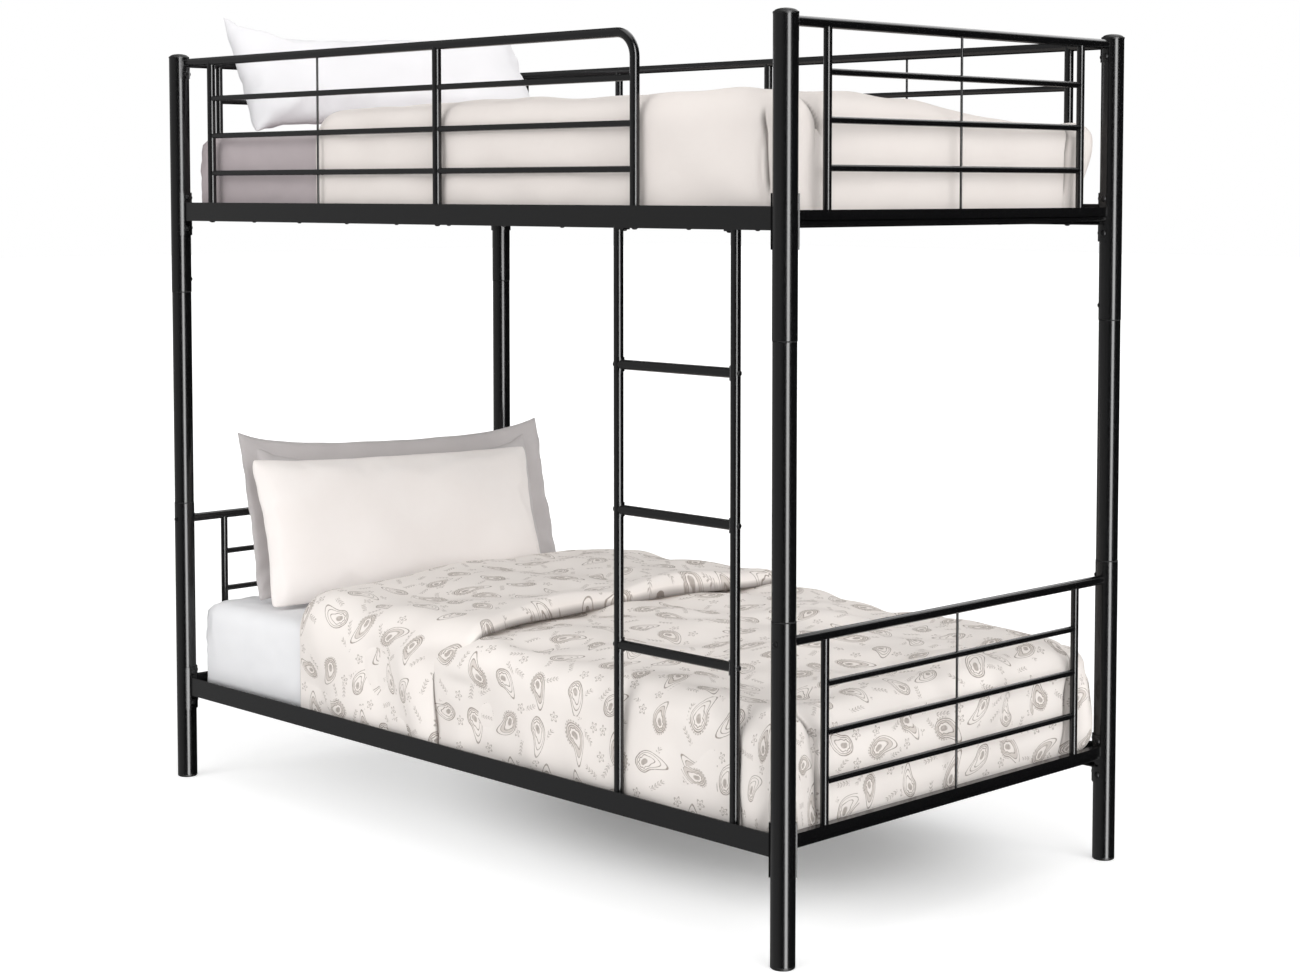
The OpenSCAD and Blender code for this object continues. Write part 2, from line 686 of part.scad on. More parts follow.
upper_pillow_from = 159; // middle of the upper pillow from the head end of the mattress
upper_pillow_lean = 38;
sham_from = 161;        // middle of the sham from the head end of the mattress
sham_lean = 20;
pillow_step = 10;       // foot of the lower pillow before the sham's
flange = 6;
upper_top_z = upper_bed_z + upper_mattress_h + sheet_t;
lower_top_z = lower_bed_z + lower_mattress_h + sheet_t;

module upper_pillow() color("#f7f7f7")
    pillow(mat_x0 + upper_pillow_from, -10, upper_top_z, upper_pillow_lean, -13,
           upper_pillow_w, upper_pillow_h, upper_pillow_t, flange);

module grey_sham() color("#a29e9b")
    pillow(mat_x0 + sham_from, 18, lower_top_z, sham_lean, -15, sham_w, sham_h, sham_t, flange);

// it leans on the sham
module white_pillow() color("#f2efec")
    pillow(mat_x0 + sham_from + pillow_step + (sham_t + lower_pillow_t) / 2, -36, lower_top_z,
           sham_lean + 2, -15, lower_pillow_w, lower_pillow_h, lower_pillow_t, flange);

lower_post(-1, -1);  // lower_post_head_front
lower_post(-1, 1);  // lower_post_head_rear
lower_post(1, -1);  // lower_post_foot_front
lower_post(1, 1);  // lower_post_foot_rear
mid_post(-1, -1);  // mid_post_head_front
mid_post(-1, 1);  // mid_post_head_rear
mid_post(1, -1);  // mid_post_foot_front
mid_post(1, 1);  // mid_post_foot_rear
upper_post(-1, -1);  // upper_post_head_front
upper_post(-1, 1);  // upper_post_head_rear
upper_post(1, -1);  // upper_post_foot_front
upper_post(1, 1);  // upper_post_foot_rear
cap(-1, -1);  // cap_head_front
cap(-1, 1);  // cap_head_rear
cap(1, -1);  // cap_foot_front
cap(1, 1);  // cap_foot_rear
glide(-1, -1);  // glide_head_front
glide(-1, 1);  // glide_head_rear
glide(1, -1);  // glide_foot_front
glide(1, 1);  // glide_foot_rear
joiner_sleeves();
joiner_screws();
upper_panel(-1);  // upper_panel_head
upper_panel(1);  // upper_panel_foot
lower_panel(-1);  // lower_panel_head
lower_panel(1);  // lower_panel_foot
side_rail(upper_rail_z, -1);  // upper_rail_front
side_rail(upper_rail_z, 1);  // upper_rail_rear
side_rail(lower_rail_z, -1);  // lower_rail_front
side_rail(lower_rail_z, 1);  // lower_rail_rear
guard_front();
guard_rear();
stile(0);  // ladder_stile_left
stile(1);  // ladder_stile_right
rung(0);  // rung_bottom
rung(1);  // rung_middle
rung(2);  // rung_top
rung_bolts();
stile_bolts();
side_rail_bolts();
end_rail_bolts();
top_tube_bolts();
lower_tube_bolts();
guard_bolts();
wall_nuts();
slats(upper_rail_z);  // upper_slats
slats(lower_rail_z);  // lower_slats
slat_screws();
mattress(upper_bed_z, upper_mattress_h);  // upper_mattress
fitted_sheet(upper_bed_z, upper_mattress_h, "#9b9795");  // upper_fitted_sheet
comforter();
upper_pillow();
mattress(lower_bed_z, lower_mattress_h);  // lower_mattress
fitted_sheet(lower_bed_z, lower_mattress_h, "#f4f3f2");  // lower_fitted_sheet
duvet();
grey_sham();
white_pillow();
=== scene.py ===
import json
import math

import bmesh
import bpy
import numpy as np
from mathutils import Matrix, Vector


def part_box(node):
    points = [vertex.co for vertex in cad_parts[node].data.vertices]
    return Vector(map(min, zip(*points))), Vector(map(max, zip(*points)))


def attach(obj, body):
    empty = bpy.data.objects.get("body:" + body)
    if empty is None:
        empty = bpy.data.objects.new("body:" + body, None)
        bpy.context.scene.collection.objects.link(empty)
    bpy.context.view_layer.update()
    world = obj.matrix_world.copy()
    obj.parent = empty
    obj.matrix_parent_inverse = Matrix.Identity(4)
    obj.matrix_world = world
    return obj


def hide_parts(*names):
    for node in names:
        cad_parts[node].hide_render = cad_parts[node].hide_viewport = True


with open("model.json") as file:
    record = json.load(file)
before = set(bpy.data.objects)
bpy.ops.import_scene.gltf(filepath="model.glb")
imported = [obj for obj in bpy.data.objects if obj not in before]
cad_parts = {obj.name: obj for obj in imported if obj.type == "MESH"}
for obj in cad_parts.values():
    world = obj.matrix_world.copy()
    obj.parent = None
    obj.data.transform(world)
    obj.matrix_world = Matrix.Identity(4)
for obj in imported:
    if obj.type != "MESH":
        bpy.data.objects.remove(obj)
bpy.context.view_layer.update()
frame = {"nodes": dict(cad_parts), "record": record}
nodes = frame["nodes"]
slotOf = {part["node"]: part["material_slot"] for part in frame["record"]["subparts"]}
print("frame loaded with", len(nodes), "nodes")


class Wire:
    # wraps an output socket, so that shader maths reads as plain expressions
    def __init__(self, shader, socket):
        self.shader, self.socket = shader, socket

    def mathNode(self, operation, *values):
        return self.shader.node("ShaderNodeMath", {"operation": operation}, dict(enumerate(values)))

    def __add__(self, other):
        return self.mathNode("ADD", self, other)

    def __sub__(self, other):
        return self.mathNode("SUBTRACT", self, other)

    def __rsub__(self, other):
        return self.mathNode("SUBTRACT", other, self)

    def __mul__(self, other):
        return self.mathNode("MULTIPLY", self, other)

    def __truediv__(self, other):
        return self.mathNode("DIVIDE", self, other)

    def __rtruediv__(self, other):
        return self.mathNode("DIVIDE", other, self)

    def __pow__(self, other):
        return self.mathNode("POWER", self, other)

    def __rpow__(self, other):
        return self.mathNode("POWER", other, self)

    def __lt__(self, other):
        return self.mathNode("LESS_THAN", self, other)

    def __gt__(self, other):
        return self.mathNode("GREATER_THAN", self, other)

    __radd__ = __add__
    __rmul__ = __mul__

    def fn(self, operation, *others):
        return self.mathNode(operation, self, *others)

    def smooth(self, low, high, start=0.0, end=1.0):
        return self.shader.node("ShaderNodeMapRange", {"interpolation_type": "SMOOTHSTEP"},
                                {0: self, 1: low, 2: high, 3: start, 4: end})


class Shader:
    def __init__(self, name):
        self.material = bpy.data.materials.new(name)
        self.material.use_nodes = True
        self.tree = self.material.node_tree
        self.tree.nodes.clear()
        self.output = self.tree.nodes.new("ShaderNodeOutputMaterial")

    def node(self, kind, settings, inputs, out=0):
        made = self.tree.nodes.new(kind)
        for key, value in settings.items():
            setattr(made, key, value)
        for key, value in inputs.items():
            socket = made.inputs[key]
            if isinstance(value, Wire):
                self.tree.links.new(value.socket, socket)
            else:
                socket.default_value = value
        return Wire(self, made.outputs[out])

    def twin(self, wire, out):
        # another output of the node that a wire comes from
        return Wire(self, wire.socket.node.outputs[out])

    def place(self):
        # the part's own coordinates in metres
        return self.node("ShaderNodeTexCoord", {}, {}, "Object")

    def attribute(self, name, out="Vector"):
        return self.node("ShaderNodeAttribute", {"attribute_name": name}, {}, out)

    def vector(self, operation, *vectors):
        out = "Value" if operation in ("LENGTH", "DOT_PRODUCT") else "Vector"
        return self.node("ShaderNodeVectorMath", {"operation": operation}, dict(enumerate(vectors)), out)

    def parts(self, wire):
        split = self.node("ShaderNodeSeparateXYZ", {}, {0: wire})
        return split, self.twin(split, 1), self.twin(split, 2)

    def mix(self, factor, first, second):
        return self.node("ShaderNodeMix", {"data_type": "RGBA"}, {0: factor, 6: first, 7: second}, 2)

    def noise(self, spot, scale, detail):
        return self.node("ShaderNodeTexNoise", {}, {"Vector": spot, "Scale": scale, "Detail": detail})

    def bump(self, height, strength, distance, under=None):
        inputs = {"Height": height, "Strength": strength, "Distance": distance}
        if under is not None:
            inputs["Normal"] = under
        return self.node("ShaderNodeBump", {}, inputs)

    def surface(self, inputs):
        shaded = self.node("ShaderNodeBsdfPrincipled", {}, inputs)
        self.tree.links.new(shaded.socket, self.output.inputs["Surface"])
        return self.material


def rgb(red, green, blue):
    # screen values of 0 to 255 to a linear colour
    linear = [v / 255 / 12.92 if v <= 10 else ((v / 255 + 0.055) / 1.055) ** 2.4 for v in (red, green, blue)]
    return (*linear, 1.0)


frameLook = {
    "coatColour": rgb(11, 11, 12), "coatRough": 0.2, "coatClouds": 6.0,
    "grainScale": 900.0, "grainBump": 0.02, "grainHeight": 0.0004,
    "boltColour": rgb(20, 20, 21), "boltRough": 0.36, "capColour": rgb(17, 17, 17), "capRough": 0.42,
    "zincColour": rgb(176, 178, 180), "zincRough": 0.35, "plainClouds": 40.0,
    # the posts alone stand beyond this place, and their joints show as fine matt lines
    "postsFrom": 0.92, "jointLine": (0.0008, 0.0014), "jointRough": 0.7,
    "joints": {end: [corner[2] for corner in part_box("mid_post_" + name + "_front")]
               for end, name in ((-1.0, "head"), (1.0, "foot"))},
}


def powderCoat():
    s = Shader("glossBlackPowderCoat")
    spot = s.place()
    grain = s.noise(spot, frameLook["grainScale"], 2.0)
    cloud = s.noise(spot, frameLook["coatClouds"], 3.0)
    x, _, z = s.parts(spot)
    seam = 0.0
    for end, joints in frameLook["joints"].items():
        for joint in joints:
            post = x * end > frameLook["postsFrom"]
            seam = post * (z - joint).fn("ABSOLUTE").smooth(*frameLook["jointLine"], 1.0, 0.0) + seam
    rough = frameLook["coatRough"] - 0.03 + cloud * 0.06 + seam * frameLook["jointRough"]
    return s.surface({"Base Color": frameLook["coatColour"], "Roughness": rough,
                      "Normal": s.bump(grain, frameLook["grainBump"], frameLook["grainHeight"])})


def plainFinish(name, colour, rough, metallic=0.0):
    s = Shader(name)
    cloud = s.noise(s.place(), frameLook["plainClouds"], 3.0)
    return s.surface({"Base Color": colour, "Roughness": rough - 0.04 + cloud * 0.08, "Metallic": metallic})


finishes = {
    "black_powder_coat": powderCoat(),
    "black_fasteners": plainFinish("blackOxideSteel", frameLook["boltColour"], frameLook["boltRough"], 0.4),
    "black_plastic": plainFinish("mouldedBlackPlastic", frameLook["capColour"], frameLook["capRough"]),
    "zinc_steel": plainFinish("zincPlatedSteel", frameLook["zincColour"], frameLook["zincRough"], 1.0),
}

for name, made in nodes.items():
    if slotOf[name] in finishes:
        made.data.materials.clear()
        made.data.materials.append(finishes[slotOf[name]])
print("frame painted")


clothLook = {
    # the painted shade inside narrow folds: its share and its dark colour
    "rough": 0.85, "specular": 0.2, "clouds": 9.0, "paintedShadeShare": 0.80, "paintedShadeColour": rgb(66, 58, 54),
    "threads": 900.0, "threadBump": 0.25, "threadHeight": 0.0003,
    "slack": 24.0, "slackBump": 0.12, "slackHeight": 0.004,
}


def clothSurface(s, spot, colour, slackBump):
    # matt cloth with short threads and small soft creases, with painted shade darkening its colour inside its
    # narrow folds
    shade = s.attribute("foldShade", "Fac") * clothLook["paintedShadeShare"]
    shaded = s.mix(shade, colour, clothLook["paintedShadeColour"])
    thread = s.noise(spot, clothLook["threads"], 2.0)
    slack = s.noise(spot, clothLook["slack"], 3.0)
    creased = s.bump(slack, slackBump, clothLook["slackHeight"])
    woven = s.bump(thread, clothLook["threadBump"], clothLook["threadHeight"], creased)
    return s.surface({"Base Color": shaded, "Roughness": clothLook["rough"],
                      "Specular IOR Level": clothLook["specular"], "Normal": woven})


def plainCloth(name, colour, shade):
    s = Shader(name)
    spot = s.attribute("clothSpot")
    cloud = s.noise(spot, clothLook["clouds"], 4.0)
    return clothSurface(s, spot, s.mix(cloud, colour, shade), clothLook["slackBump"])


printLook = {
    "ground": rgb(243, 237, 232), "groundShade": rgb(237, 230, 225), "slackBump": 0.1,
    "ink": rgb(147, 135, 126), "paleInk": rgb(184, 173, 164), "strength": 0.9, "smallStrength": 0.72,
    # the drops: lattice and length in metres of flat cloth, bend of the tip, width of a line
    "cell": 0.104, "jitter": 0.30, "size": 0.039, "spread": 0.011, "hook": 15.0, "line": 0.0014,
    "beads": 21.0, "scallops": 7.0, "fill": 0.48,
    # the daisies and sprigs between them
    "smallCell": 0.051, "smallJitter": 0.7, "stem": 0.018, "stemBend": 12.0, "leafPitch": 0.0080,
    "sprigFrom": 0.5, "daisy": 0.0072, "petals": 5.0, "petal": 0.0026, "daisyShare": 0.38,
}


def paisleyCloth(name):
    # paisley drops on a jittered lattice of flat cloth, with daisies and sprigs strewn between them
    look = printLook
    s = Shader(name)
    spot = s.attribute("clothSpot")

    def lattice(cell, jitter, shift):
        # the place within the nearest motif, turned at random, and three lucky numbers of that motif
        moved = s.vector("ADD", spot, shift)
        found = s.node("ShaderNodeTexVoronoi", {"voronoi_dimensions": "2D"},
                       {"Vector": moved, "Scale": 1 / cell, "Randomness": jitter}, "Position")
        luck = s.parts(s.twin(found, "Color"))
        local = s.vector("SUBTRACT", moved, found)
        turned = s.node("ShaderNodeVectorRotate", {"rotation_type": "Z_AXIS"},
                        {"Vector": local, "Angle": luck[0] * (2 * math.pi)})
        x, y, _ = s.parts(turned)
        return x, y, luck

    def band(value, inner, outer):
        # 1 below the inner value, falling to 0 at the outer one
        return value.smooth(inner, outer, 1.0, 0.0)

    x, y, luck = lattice(look["cell"], look["jitter"], (0.031, 0.017, 0.0))
    size = luck[1] * look["spread"] + look["size"]
    y = y + size * 0.28
    bent = x - y * y.fn("ABSOLUTE") * look["hook"]
    reach = (bent * bent + y * y).fn("SQRT") + 0.0001
    tip = (y / reach + 1.0) * 0.5
    whole = size * (tip ** 7.0 * 0.62 + 0.40)
    gauge = reach / whole
    around = bent.fn("ARCTAN2", y)

    def outline(share, width):
        off = (reach - whole * share).fn("ABSOLUTE")
        return band(off, look["line"] * width * 0.5, look["line"] * width)

    beads = (around * look["beads"]).fn("SINE") * 0.5 + 0.5
    beads = beads * gauge.smooth(1.08, 1.14) * band(gauge, 1.22, 1.3) * band(tip, 0.6, 0.8) * (luck[2] > 0.4)
    scallops = (around * look["scallops"]).fn("COSINE") * 0.05 + 0.56
    drop = outline(1.0, 1.2).fn("MAXIMUM", outline(0.8, 0.8)).fn("MAXIMUM", outline(scallops, 1.0))
    drop = drop.fn("MAXIMUM", band(gauge, 0.24, 0.32) * 0.8).fn("MAXIMUM", beads * 0.9)
    filled = band(gauge, 0.76, 0.8) * gauge.smooth(0.5, 0.54) * (luck[2] > 0.5) * look["fill"]

    x, y, luck = lattice(look["smallCell"], look["smallJitter"], (0.4, 0.23, 0.0))
    middle = (x * x + y * y).fn("SQRT")
    flower = middle / ((x.fn("ARCTAN2", y) * look["petals"]).fn("COSINE") * look["petal"] + look["daisy"])
    daisy = band((flower - 1.0).fn("ABSOLUTE"), 0.11, 0.24).fn("MAXIMUM", band(flower, 0.3, 0.42))
    daisy = daisy * (luck[1] < look["daisyShare"])
    side = (x - y * y.fn("ABSOLUTE") * look["stemBend"]).fn("ABSOLUTE")
    row = ((y - side * 1.1) * (2 * math.pi / look["leafPitch"])).fn("SINE").smooth(0.0, 0.45)
    leaves = row * side.smooth(0.0007, 0.0013) * band(side, 0.0042, 0.0056)
    stem = band(side, 0.0004, 0.0010) * 0.7
    sprig = leaves.fn("MAXIMUM", stem) * band(y.fn("ABSOLUTE"), look["stem"] - 0.001, look["stem"] + 0.001)
    small = daisy.fn("MAXIMUM", sprig * (luck[1] > look["sprigFrom"])) * gauge.smooth(1.36, 1.42)

    cloud = s.noise(spot, clothLook["clouds"], 4.0)
    ground = s.mix(cloud, look["ground"], look["groundShade"])
    worn = s.noise(spot, 130.0, 2.0).smooth(0.25, 0.6, 0.65, 1.0)
    tinted = s.mix(filled, ground, look["paleInk"])
    inked = drop.fn("MAXIMUM", small * look["smallStrength"]) * worn * look["strength"]
    return clothSurface(s, spot, s.mix(inked, tinted, look["ink"]), look["slackBump"])


clothLooks = {
    "white_ticking": plainCloth("whiteTicking", rgb(240, 239, 236), rgb(232, 231, 229)),
    "grey_cotton": plainCloth("greyCotton", rgb(186, 176, 178), rgb(176, 166, 168)),
    "sham_cotton": plainCloth("shamCotton", rgb(206, 201, 200), rgb(192, 187, 187)),
    "white_cotton": plainCloth("whiteCotton", rgb(239, 239, 240), rgb(233, 233, 235)),
    "cream_cotton": plainCloth("creamCotton", rgb(237, 230, 225), rgb(230, 222, 217)),
    "printed_cotton": paisleyCloth("paisleyCotton"),
    # a darker copy of the white cotton that paints shade on the upper pillow
    "shaded_pillow_cotton": plainCloth("shadedPillowCotton", rgb(233, 232, 234), rgb(226, 225, 227)),
    "ivory_cotton": plainCloth("ivoryCotton", rgb(247, 242, 239), rgb(241, 234, 230)),
}


def cosField(u, v, size, seed, waves=14, stretch=1.0, turn=0.0):
    # smooth random field of about unit height; its waves have about the given size, longer along one way
    draw = np.random.default_rng(seed)
    total = np.zeros_like(u)
    c, d = math.cos(turn), math.sin(turn)
    a, b = (u * c + v * d) / stretch, -u * d + v * c
    for _ in range(waves):
        way = draw.uniform(0, 2 * math.pi)
        count = 2 * math.pi / (size * draw.uniform(0.7, 1.6))
        total += np.cos(count * (a * math.cos(way) + b * math.sin(way)) + draw.uniform(0, 2 * math.pi))
    return total / math.sqrt(waves / 2)


def smoothStep(value, low, high):
    # from 0 at low to 1 at high, which may be the smaller value
    t = np.clip((value - low) / (high - low), 0, 1)
    return t * t * (3 - 2 * t)


def rounded(distance, radius):
    # quarter circle from 0 at the edge to 1 a radius inside it
    return np.sqrt(np.clip(1 - (1 - np.clip(distance / radius, 0, 1)) ** 2, 0, 1))


def meshFrom(name, points, faces, spots):
    mesh = bpy.data.meshes.new(name)
    mesh.from_pydata([tuple(p) for p in points], [], faces)
    layer = mesh.attributes.new("clothSpot", "FLOAT_VECTOR", "POINT")
    layer.data.foreach_set("vector", np.asarray(spots, np.float32).ravel())
    mesh.polygons.foreach_set("use_smooth", [True] * len(mesh.polygons))
    made = bpy.data.objects.new(name, mesh)
    bpy.context.scene.collection.objects.link(made)
    return made


def pointsOf(made):
    values = np.empty(len(made.data.vertices) * 3)
    made.data.vertices.foreach_get("co", values)
    return values.reshape(-1, 3)


def setPoints(made, points):
    made.data.vertices.foreach_set("co", np.asarray(points, np.float64).ravel())
    made.data.update()


def applyAll(made):
    # bakes the modifiers of an object into its mesh
    bpy.context.view_layer.update()
    result = bpy.data.meshes.new_from_object(made.evaluated_get(bpy.context.evaluated_depsgraph_get()))
    made.modifiers.clear()
    old, made.data = made.data, result
    bpy.data.meshes.remove(old)


def refine(made):
    made.modifiers.new("finer", "SUBSURF").levels = 1
    applyAll(made)
    made.data.polygons.foreach_set("use_smooth", [True] * len(made.data.polygons))


clothForm = {"quality": 5, "mass": 0.3, "frames": 20}


def settle(made, pressure, cap, held, grow, stiff=12.0, bending=0.4):
    # lets air pressure shape a closed piece of cloth, no point moving further than the cap
    before = pointsOf(made)
    cloth = made.modifiers.new("cloth", "CLOTH")
    settings = cloth.settings
    settings.quality, settings.mass = clothForm["quality"], clothForm["mass"]
    settings.tension_stiffness = settings.compression_stiffness = stiff
    settings.shear_stiffness, settings.bending_stiffness = stiff / 3, bending
    settings.use_pressure, settings.uniform_pressure_force = True, pressure
    settings.shrink_min = -grow
    settings.effector_weights.gravity = 0
    if held is not None:
        group = made.vertex_groups.new(name="held")
        weights = np.round(held, 2)
        for weight in sorted(set(weights)):
            if weight > 0:
                group.add([int(k) for k in np.nonzero(weights == weight)[0]], float(weight), "REPLACE")
        settings.vertex_group_mass = "held"
    cloth.point_cache.frame_start, cloth.point_cache.frame_end = 1, clothForm["frames"]
    for frameNumber in range(1, clothForm["frames"] + 1):
        bpy.context.scene.frame_set(frameNumber)
    applyAll(made)
    bpy.context.scene.frame_set(1)
    made.vertex_groups.clear()
    moved = pointsOf(made) - before
    length = np.maximum(np.linalg.norm(moved, axis=1), 1e-9)
    setPoints(made, before + moved * (np.minimum(length, cap) / length)[:, None])


def steps(length, pitch, fine=None, reach=0.15, ends=(0, 1)):
    # shares from 0 to 1 along a length, closer together within reach of the named ends
    if fine is None:
        return np.linspace(0, 1, max(3, round(length / pitch)) + 1)
    stops = [0.0]
    while stops[-1] < length:
        near = (0 in ends and stops[-1] < reach) or (1 in ends and length - stops[-1] < reach)
        stops.append(stops[-1] + (fine if near else pitch))
    return np.array(stops) / stops[-1]


def clothGrid(us, vs, depth, rows, closed):
    # a grid on top of a block, and rows down its sides and its closed ends; returns places, drops and faces
    nx, ny = len(us) - 1, len(vs) - 1
    grid = np.arange((nx + 1) * (ny + 1)).reshape(nx + 1, ny + 1)
    cells = [(a, b) for a in us for b in vs]
    drops = [0.0] * len(cells)
    faces = [(grid[i, j], grid[i + 1, j], grid[i + 1, j + 1], grid[i, j + 1])
             for i in range(nx) for j in range(ny)]
    front, back = [(i, 0) for i in range(nx + 1)], [(i, ny) for i in range(nx, -1, -1)]
    if "foot" in closed:
        chain = front + [(nx, j) for j in range(1, ny)] + back
        chains = [chain + ([(0, j) for j in range(ny - 1, 0, -1)] if "head" in closed else [])]
    else:
        chains = [front, back]
    for chain in chains:
        row = [grid[i, j] for i, j in chain]
        for k in range(1, rows + 1):
            new = list(range(len(cells), len(cells) + len(chain)))
            cells += [(us[i], vs[j]) for i, j in chain]
            drops += [depth * k / rows] * len(chain)
            for n in range(len(chain) if "head" in closed else len(chain) - 1):
                m = (n + 1) % len(chain)
                faces.append((row[m], row[n], new[n], new[m]))
            row = new
    return np.array(cells), np.array(drops), faces


def slab(x0, x1, half, top, depth, corner, edge, grids, closed):
    # cloth over a block with rounded edges and corners; returns its points, outward directions, places on the
    # flat cloth, faces and drops
    us, vs, rows = x0 + (x1 - x0) * grids[0], half * (2 * grids[1] - 1), len(grids[2]) - 1
    cells, drops, faces = clothGrid(us, vs, depth, rows, closed)
    u, v = cells.T
    side = drops > 0
    quarter = edge * math.pi / 4

    def inset(e):
        # how far inside the outline a top point lies that is e from the edge of the flat cloth
        theta = np.clip((quarter - e) / edge, 0, math.pi / 4)
        return np.where(e < quarter, edge * (1 - np.sin(theta)),
                        np.where(e < 3 * edge, edge + (e - quarter) * 2 * edge / (3 * edge - quarter), e))

    ends = [end for end in ((x1, 1, "foot"), (x0, -1, "head")) if end[2] in closed]
    outX, outY, rounding = np.zeros_like(u), np.zeros_like(u), np.zeros(len(u), bool)
    newU, newV = u.copy(), v.copy()
    for endX, way, _ in ends:
        # the square corner of the grid is drawn in to a round one
        a, b = (way * (u - endX) + corner) / corner, (np.abs(v) - (half - corner)) / corner
        inCorner = (a > 0) & (b > 0)
        aa, bb = a * np.sqrt(np.clip(1 - b * b / 2, 0, 1)), b * np.sqrt(np.clip(1 - a * a / 2, 0, 1))
        radius = np.maximum(np.hypot(aa, bb), 1e-6)
        wanted = np.where(side, 1.0, 1 - inset(corner * (1 - radius)) / corner)
        newU = np.where(inCorner, endX + way * (-corner + corner * aa / radius * wanted), newU)
        newV = np.where(inCorner, np.sign(v) * (half - corner + corner * bb / radius * wanted), newV)
        outX = np.where(inCorner, way * aa / radius, outX)
        outY = np.where(inCorner, np.sign(v) * bb / radius, outY)
        rounding |= inCorner
    plain = ~rounding
    fromSide = half - np.abs(v)
    newV = np.where(plain & ~side, np.sign(v) * (half - inset(fromSide)), newV)
    outY = np.where(plain & (fromSide < 1e-9), np.sign(v), outY)
    inward = np.full_like(u, 1e3)
    for endX, way, _ in ends:
        ex = way * (endX - u)
        newU = np.where(plain & ~side & (ex < 3 * edge), endX - way * inset(ex), newU)
        outX = np.where(plain & (np.abs(ex) < 1e-9), way, outX)
        inward = np.minimum(inward, way * (endX - newU))
    qx, qy = corner - inward, np.abs(newV) - (half - corner)
    inside = corner - np.where((qx > 0) & (qy > 0), np.hypot(qx, qy), np.maximum(qx, qy))
    theta = np.clip(math.pi / 4 + drops / edge, 0, math.pi / 2)
    d = np.clip(inside, 0, edge)
    topDrop = edge - np.sqrt(np.clip(edge * edge - (edge - d) ** 2, 0, None))
    sideDrop = edge * (1 - np.cos(theta)) + np.maximum(drops - quarter, 0)
    sideInset = edge * (1 - np.sin(theta))
    points = np.stack([np.where(side, newU - outX * sideInset, newU),
                       np.where(side, newV - outY * sideInset, newV),
                       top - np.where(side, sideDrop, topDrop)], 1)
    lean = np.where(side, np.sin(theta), np.clip(1 - d / edge, 0, 1))
    nearX = np.where(inward < fromSide, np.sign(newU - (x0 + x1) / 2), 0.0)
    sideX = np.where(side | rounding, outX, nearX)
    sideY = np.where(side | rounding, outY, np.where(nearX == 0, np.sign(newV), 0.0))
    normals = np.stack([sideX * lean, sideY * lean, np.sqrt(np.clip(1 - lean ** 2, 0, 1))], 1)
    spots = np.stack([u + outX * drops, v + outY * drops, np.zeros_like(u)], 1)
    return {"points": points, "normals": normals, "spots": spots, "faces": faces, "drops": drops}


def freeEdges(faces):
    # edges that only one face has
    seen = {}
    for face in faces:
        for a, b in zip(face, face[1:] + face[:1]):
            seen[(b, a)] = seen.get((b, a), 0) + 1
    return [(b, a) for b, a in seen if (a, b) not in seen]


def shell(name, outer, inner, spots, faces):
    # closed piece between two surfaces of the same grid
    count = len(outer)
    flipped = [tuple(count + k for k in reversed(face)) for face in faces]
    rim = [(a, b, b + count, a + count) for a, b in freeEdges(faces)]
    return meshFrom(name, np.concatenate([outer, inner]), list(faces) + flipped + rim,
                    np.concatenate([spots, spots]))


def wear(made, slotName, cloth=None):
    made.data.materials.clear()
    made.data.materials.append(clothLooks[cloth or slotName])


box = {name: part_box(name) for name in nodes}
# covers and pillows lie the clear height over the mattress, and a cover ends its hem above the underside
bedding = {"corner": 0.070, "sheetEdge": 0.034, "pitch": 0.015, "finePitch": 0.0075, "clear": 0.0045,
           "hem": 0.016}

padLook = {"edge": 0.032, "pitch": 0.03, "inset": 0.0005, "bottomEdge": 0.012}

for deck in ("upper", "lower"):
    (x0, _, z0), (x1, y1, z1) = box[deck + "_mattress"]
    grids = [steps(length, padLook["pitch"]) for length in (x1 - x0, 2 * y1, z1 - z0)]
    over = slab(x0, x1, y1 - padLook["inset"], z1, z1 - z0 - padLook["bottomEdge"], bedding["corner"],
                padLook["edge"], grids, ("head", "foot"))
    made = meshFrom(deck + "MattressPad", over["points"], over["faces"], over["spots"])
    bm = bmesh.new()
    bm.from_mesh(made.data)
    bmesh.ops.contextual_create(bm, geom=[edge for edge in bm.edges if edge.is_boundary])
    bm.to_mesh(made.data)
    bm.free()
    wear(made, "white_ticking")
    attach(made, "root")
    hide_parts(deck + "_mattress")
print("mattresses made")

sheetLook = {"thick": 0.0012, "clear": 0.0022, "hem": 0.014, "slack": 0.0016, "creases": 0.0010,
             "headSwell": 0.009}

for deck, slotName in (("upper", "grey_cotton"), ("lower", "white_cotton")):
    (x0, _, z0), (x1, y1, z1) = box[deck + "_mattress"]
    depth = z1 - z0 - sheetLook["hem"]
    clear = sheetLook["clear"]
    grids = [steps(length, bedding["pitch"]) for length in (x1 - x0, 2 * y1, depth)]
    over = slab(x0 - clear, x1 + clear, y1 + clear, z1 + clear, depth, bedding["corner"],
                bedding["sheetEdge"], grids, ("head", "foot"))
    u, v = over["spots"][:, 0], over["spots"][:, 1]
    slack = sheetLook["slack"] * cosField(u, v, 0.30, 5) + sheetLook["creases"] * cosField(u, v, 0.06, 6)
    coverFrom = box["comforter" if deck == "upper" else "duvet"][0][0]
    bare = smoothStep(u, coverFrom + 0.03, coverFrom - 0.05)
    headFull = sheetLook["headSwell"] * smoothStep(u, x0 + 0.01, x0 - 0.02)
    swell = (np.maximum(slack, 0) + headFull) * bare
    outer = over["points"] + over["normals"] * swell[:, None]
    made = shell(deck + "FittedSheet", outer, outer - over["normals"] * sheetLook["thick"], over["spots"],
                 over["faces"])
    wear(made, slotName)
    deck + "MattressPad"
    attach(made, "root")
    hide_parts(deck + "_fitted_sheet")
print("fitted sheets made")


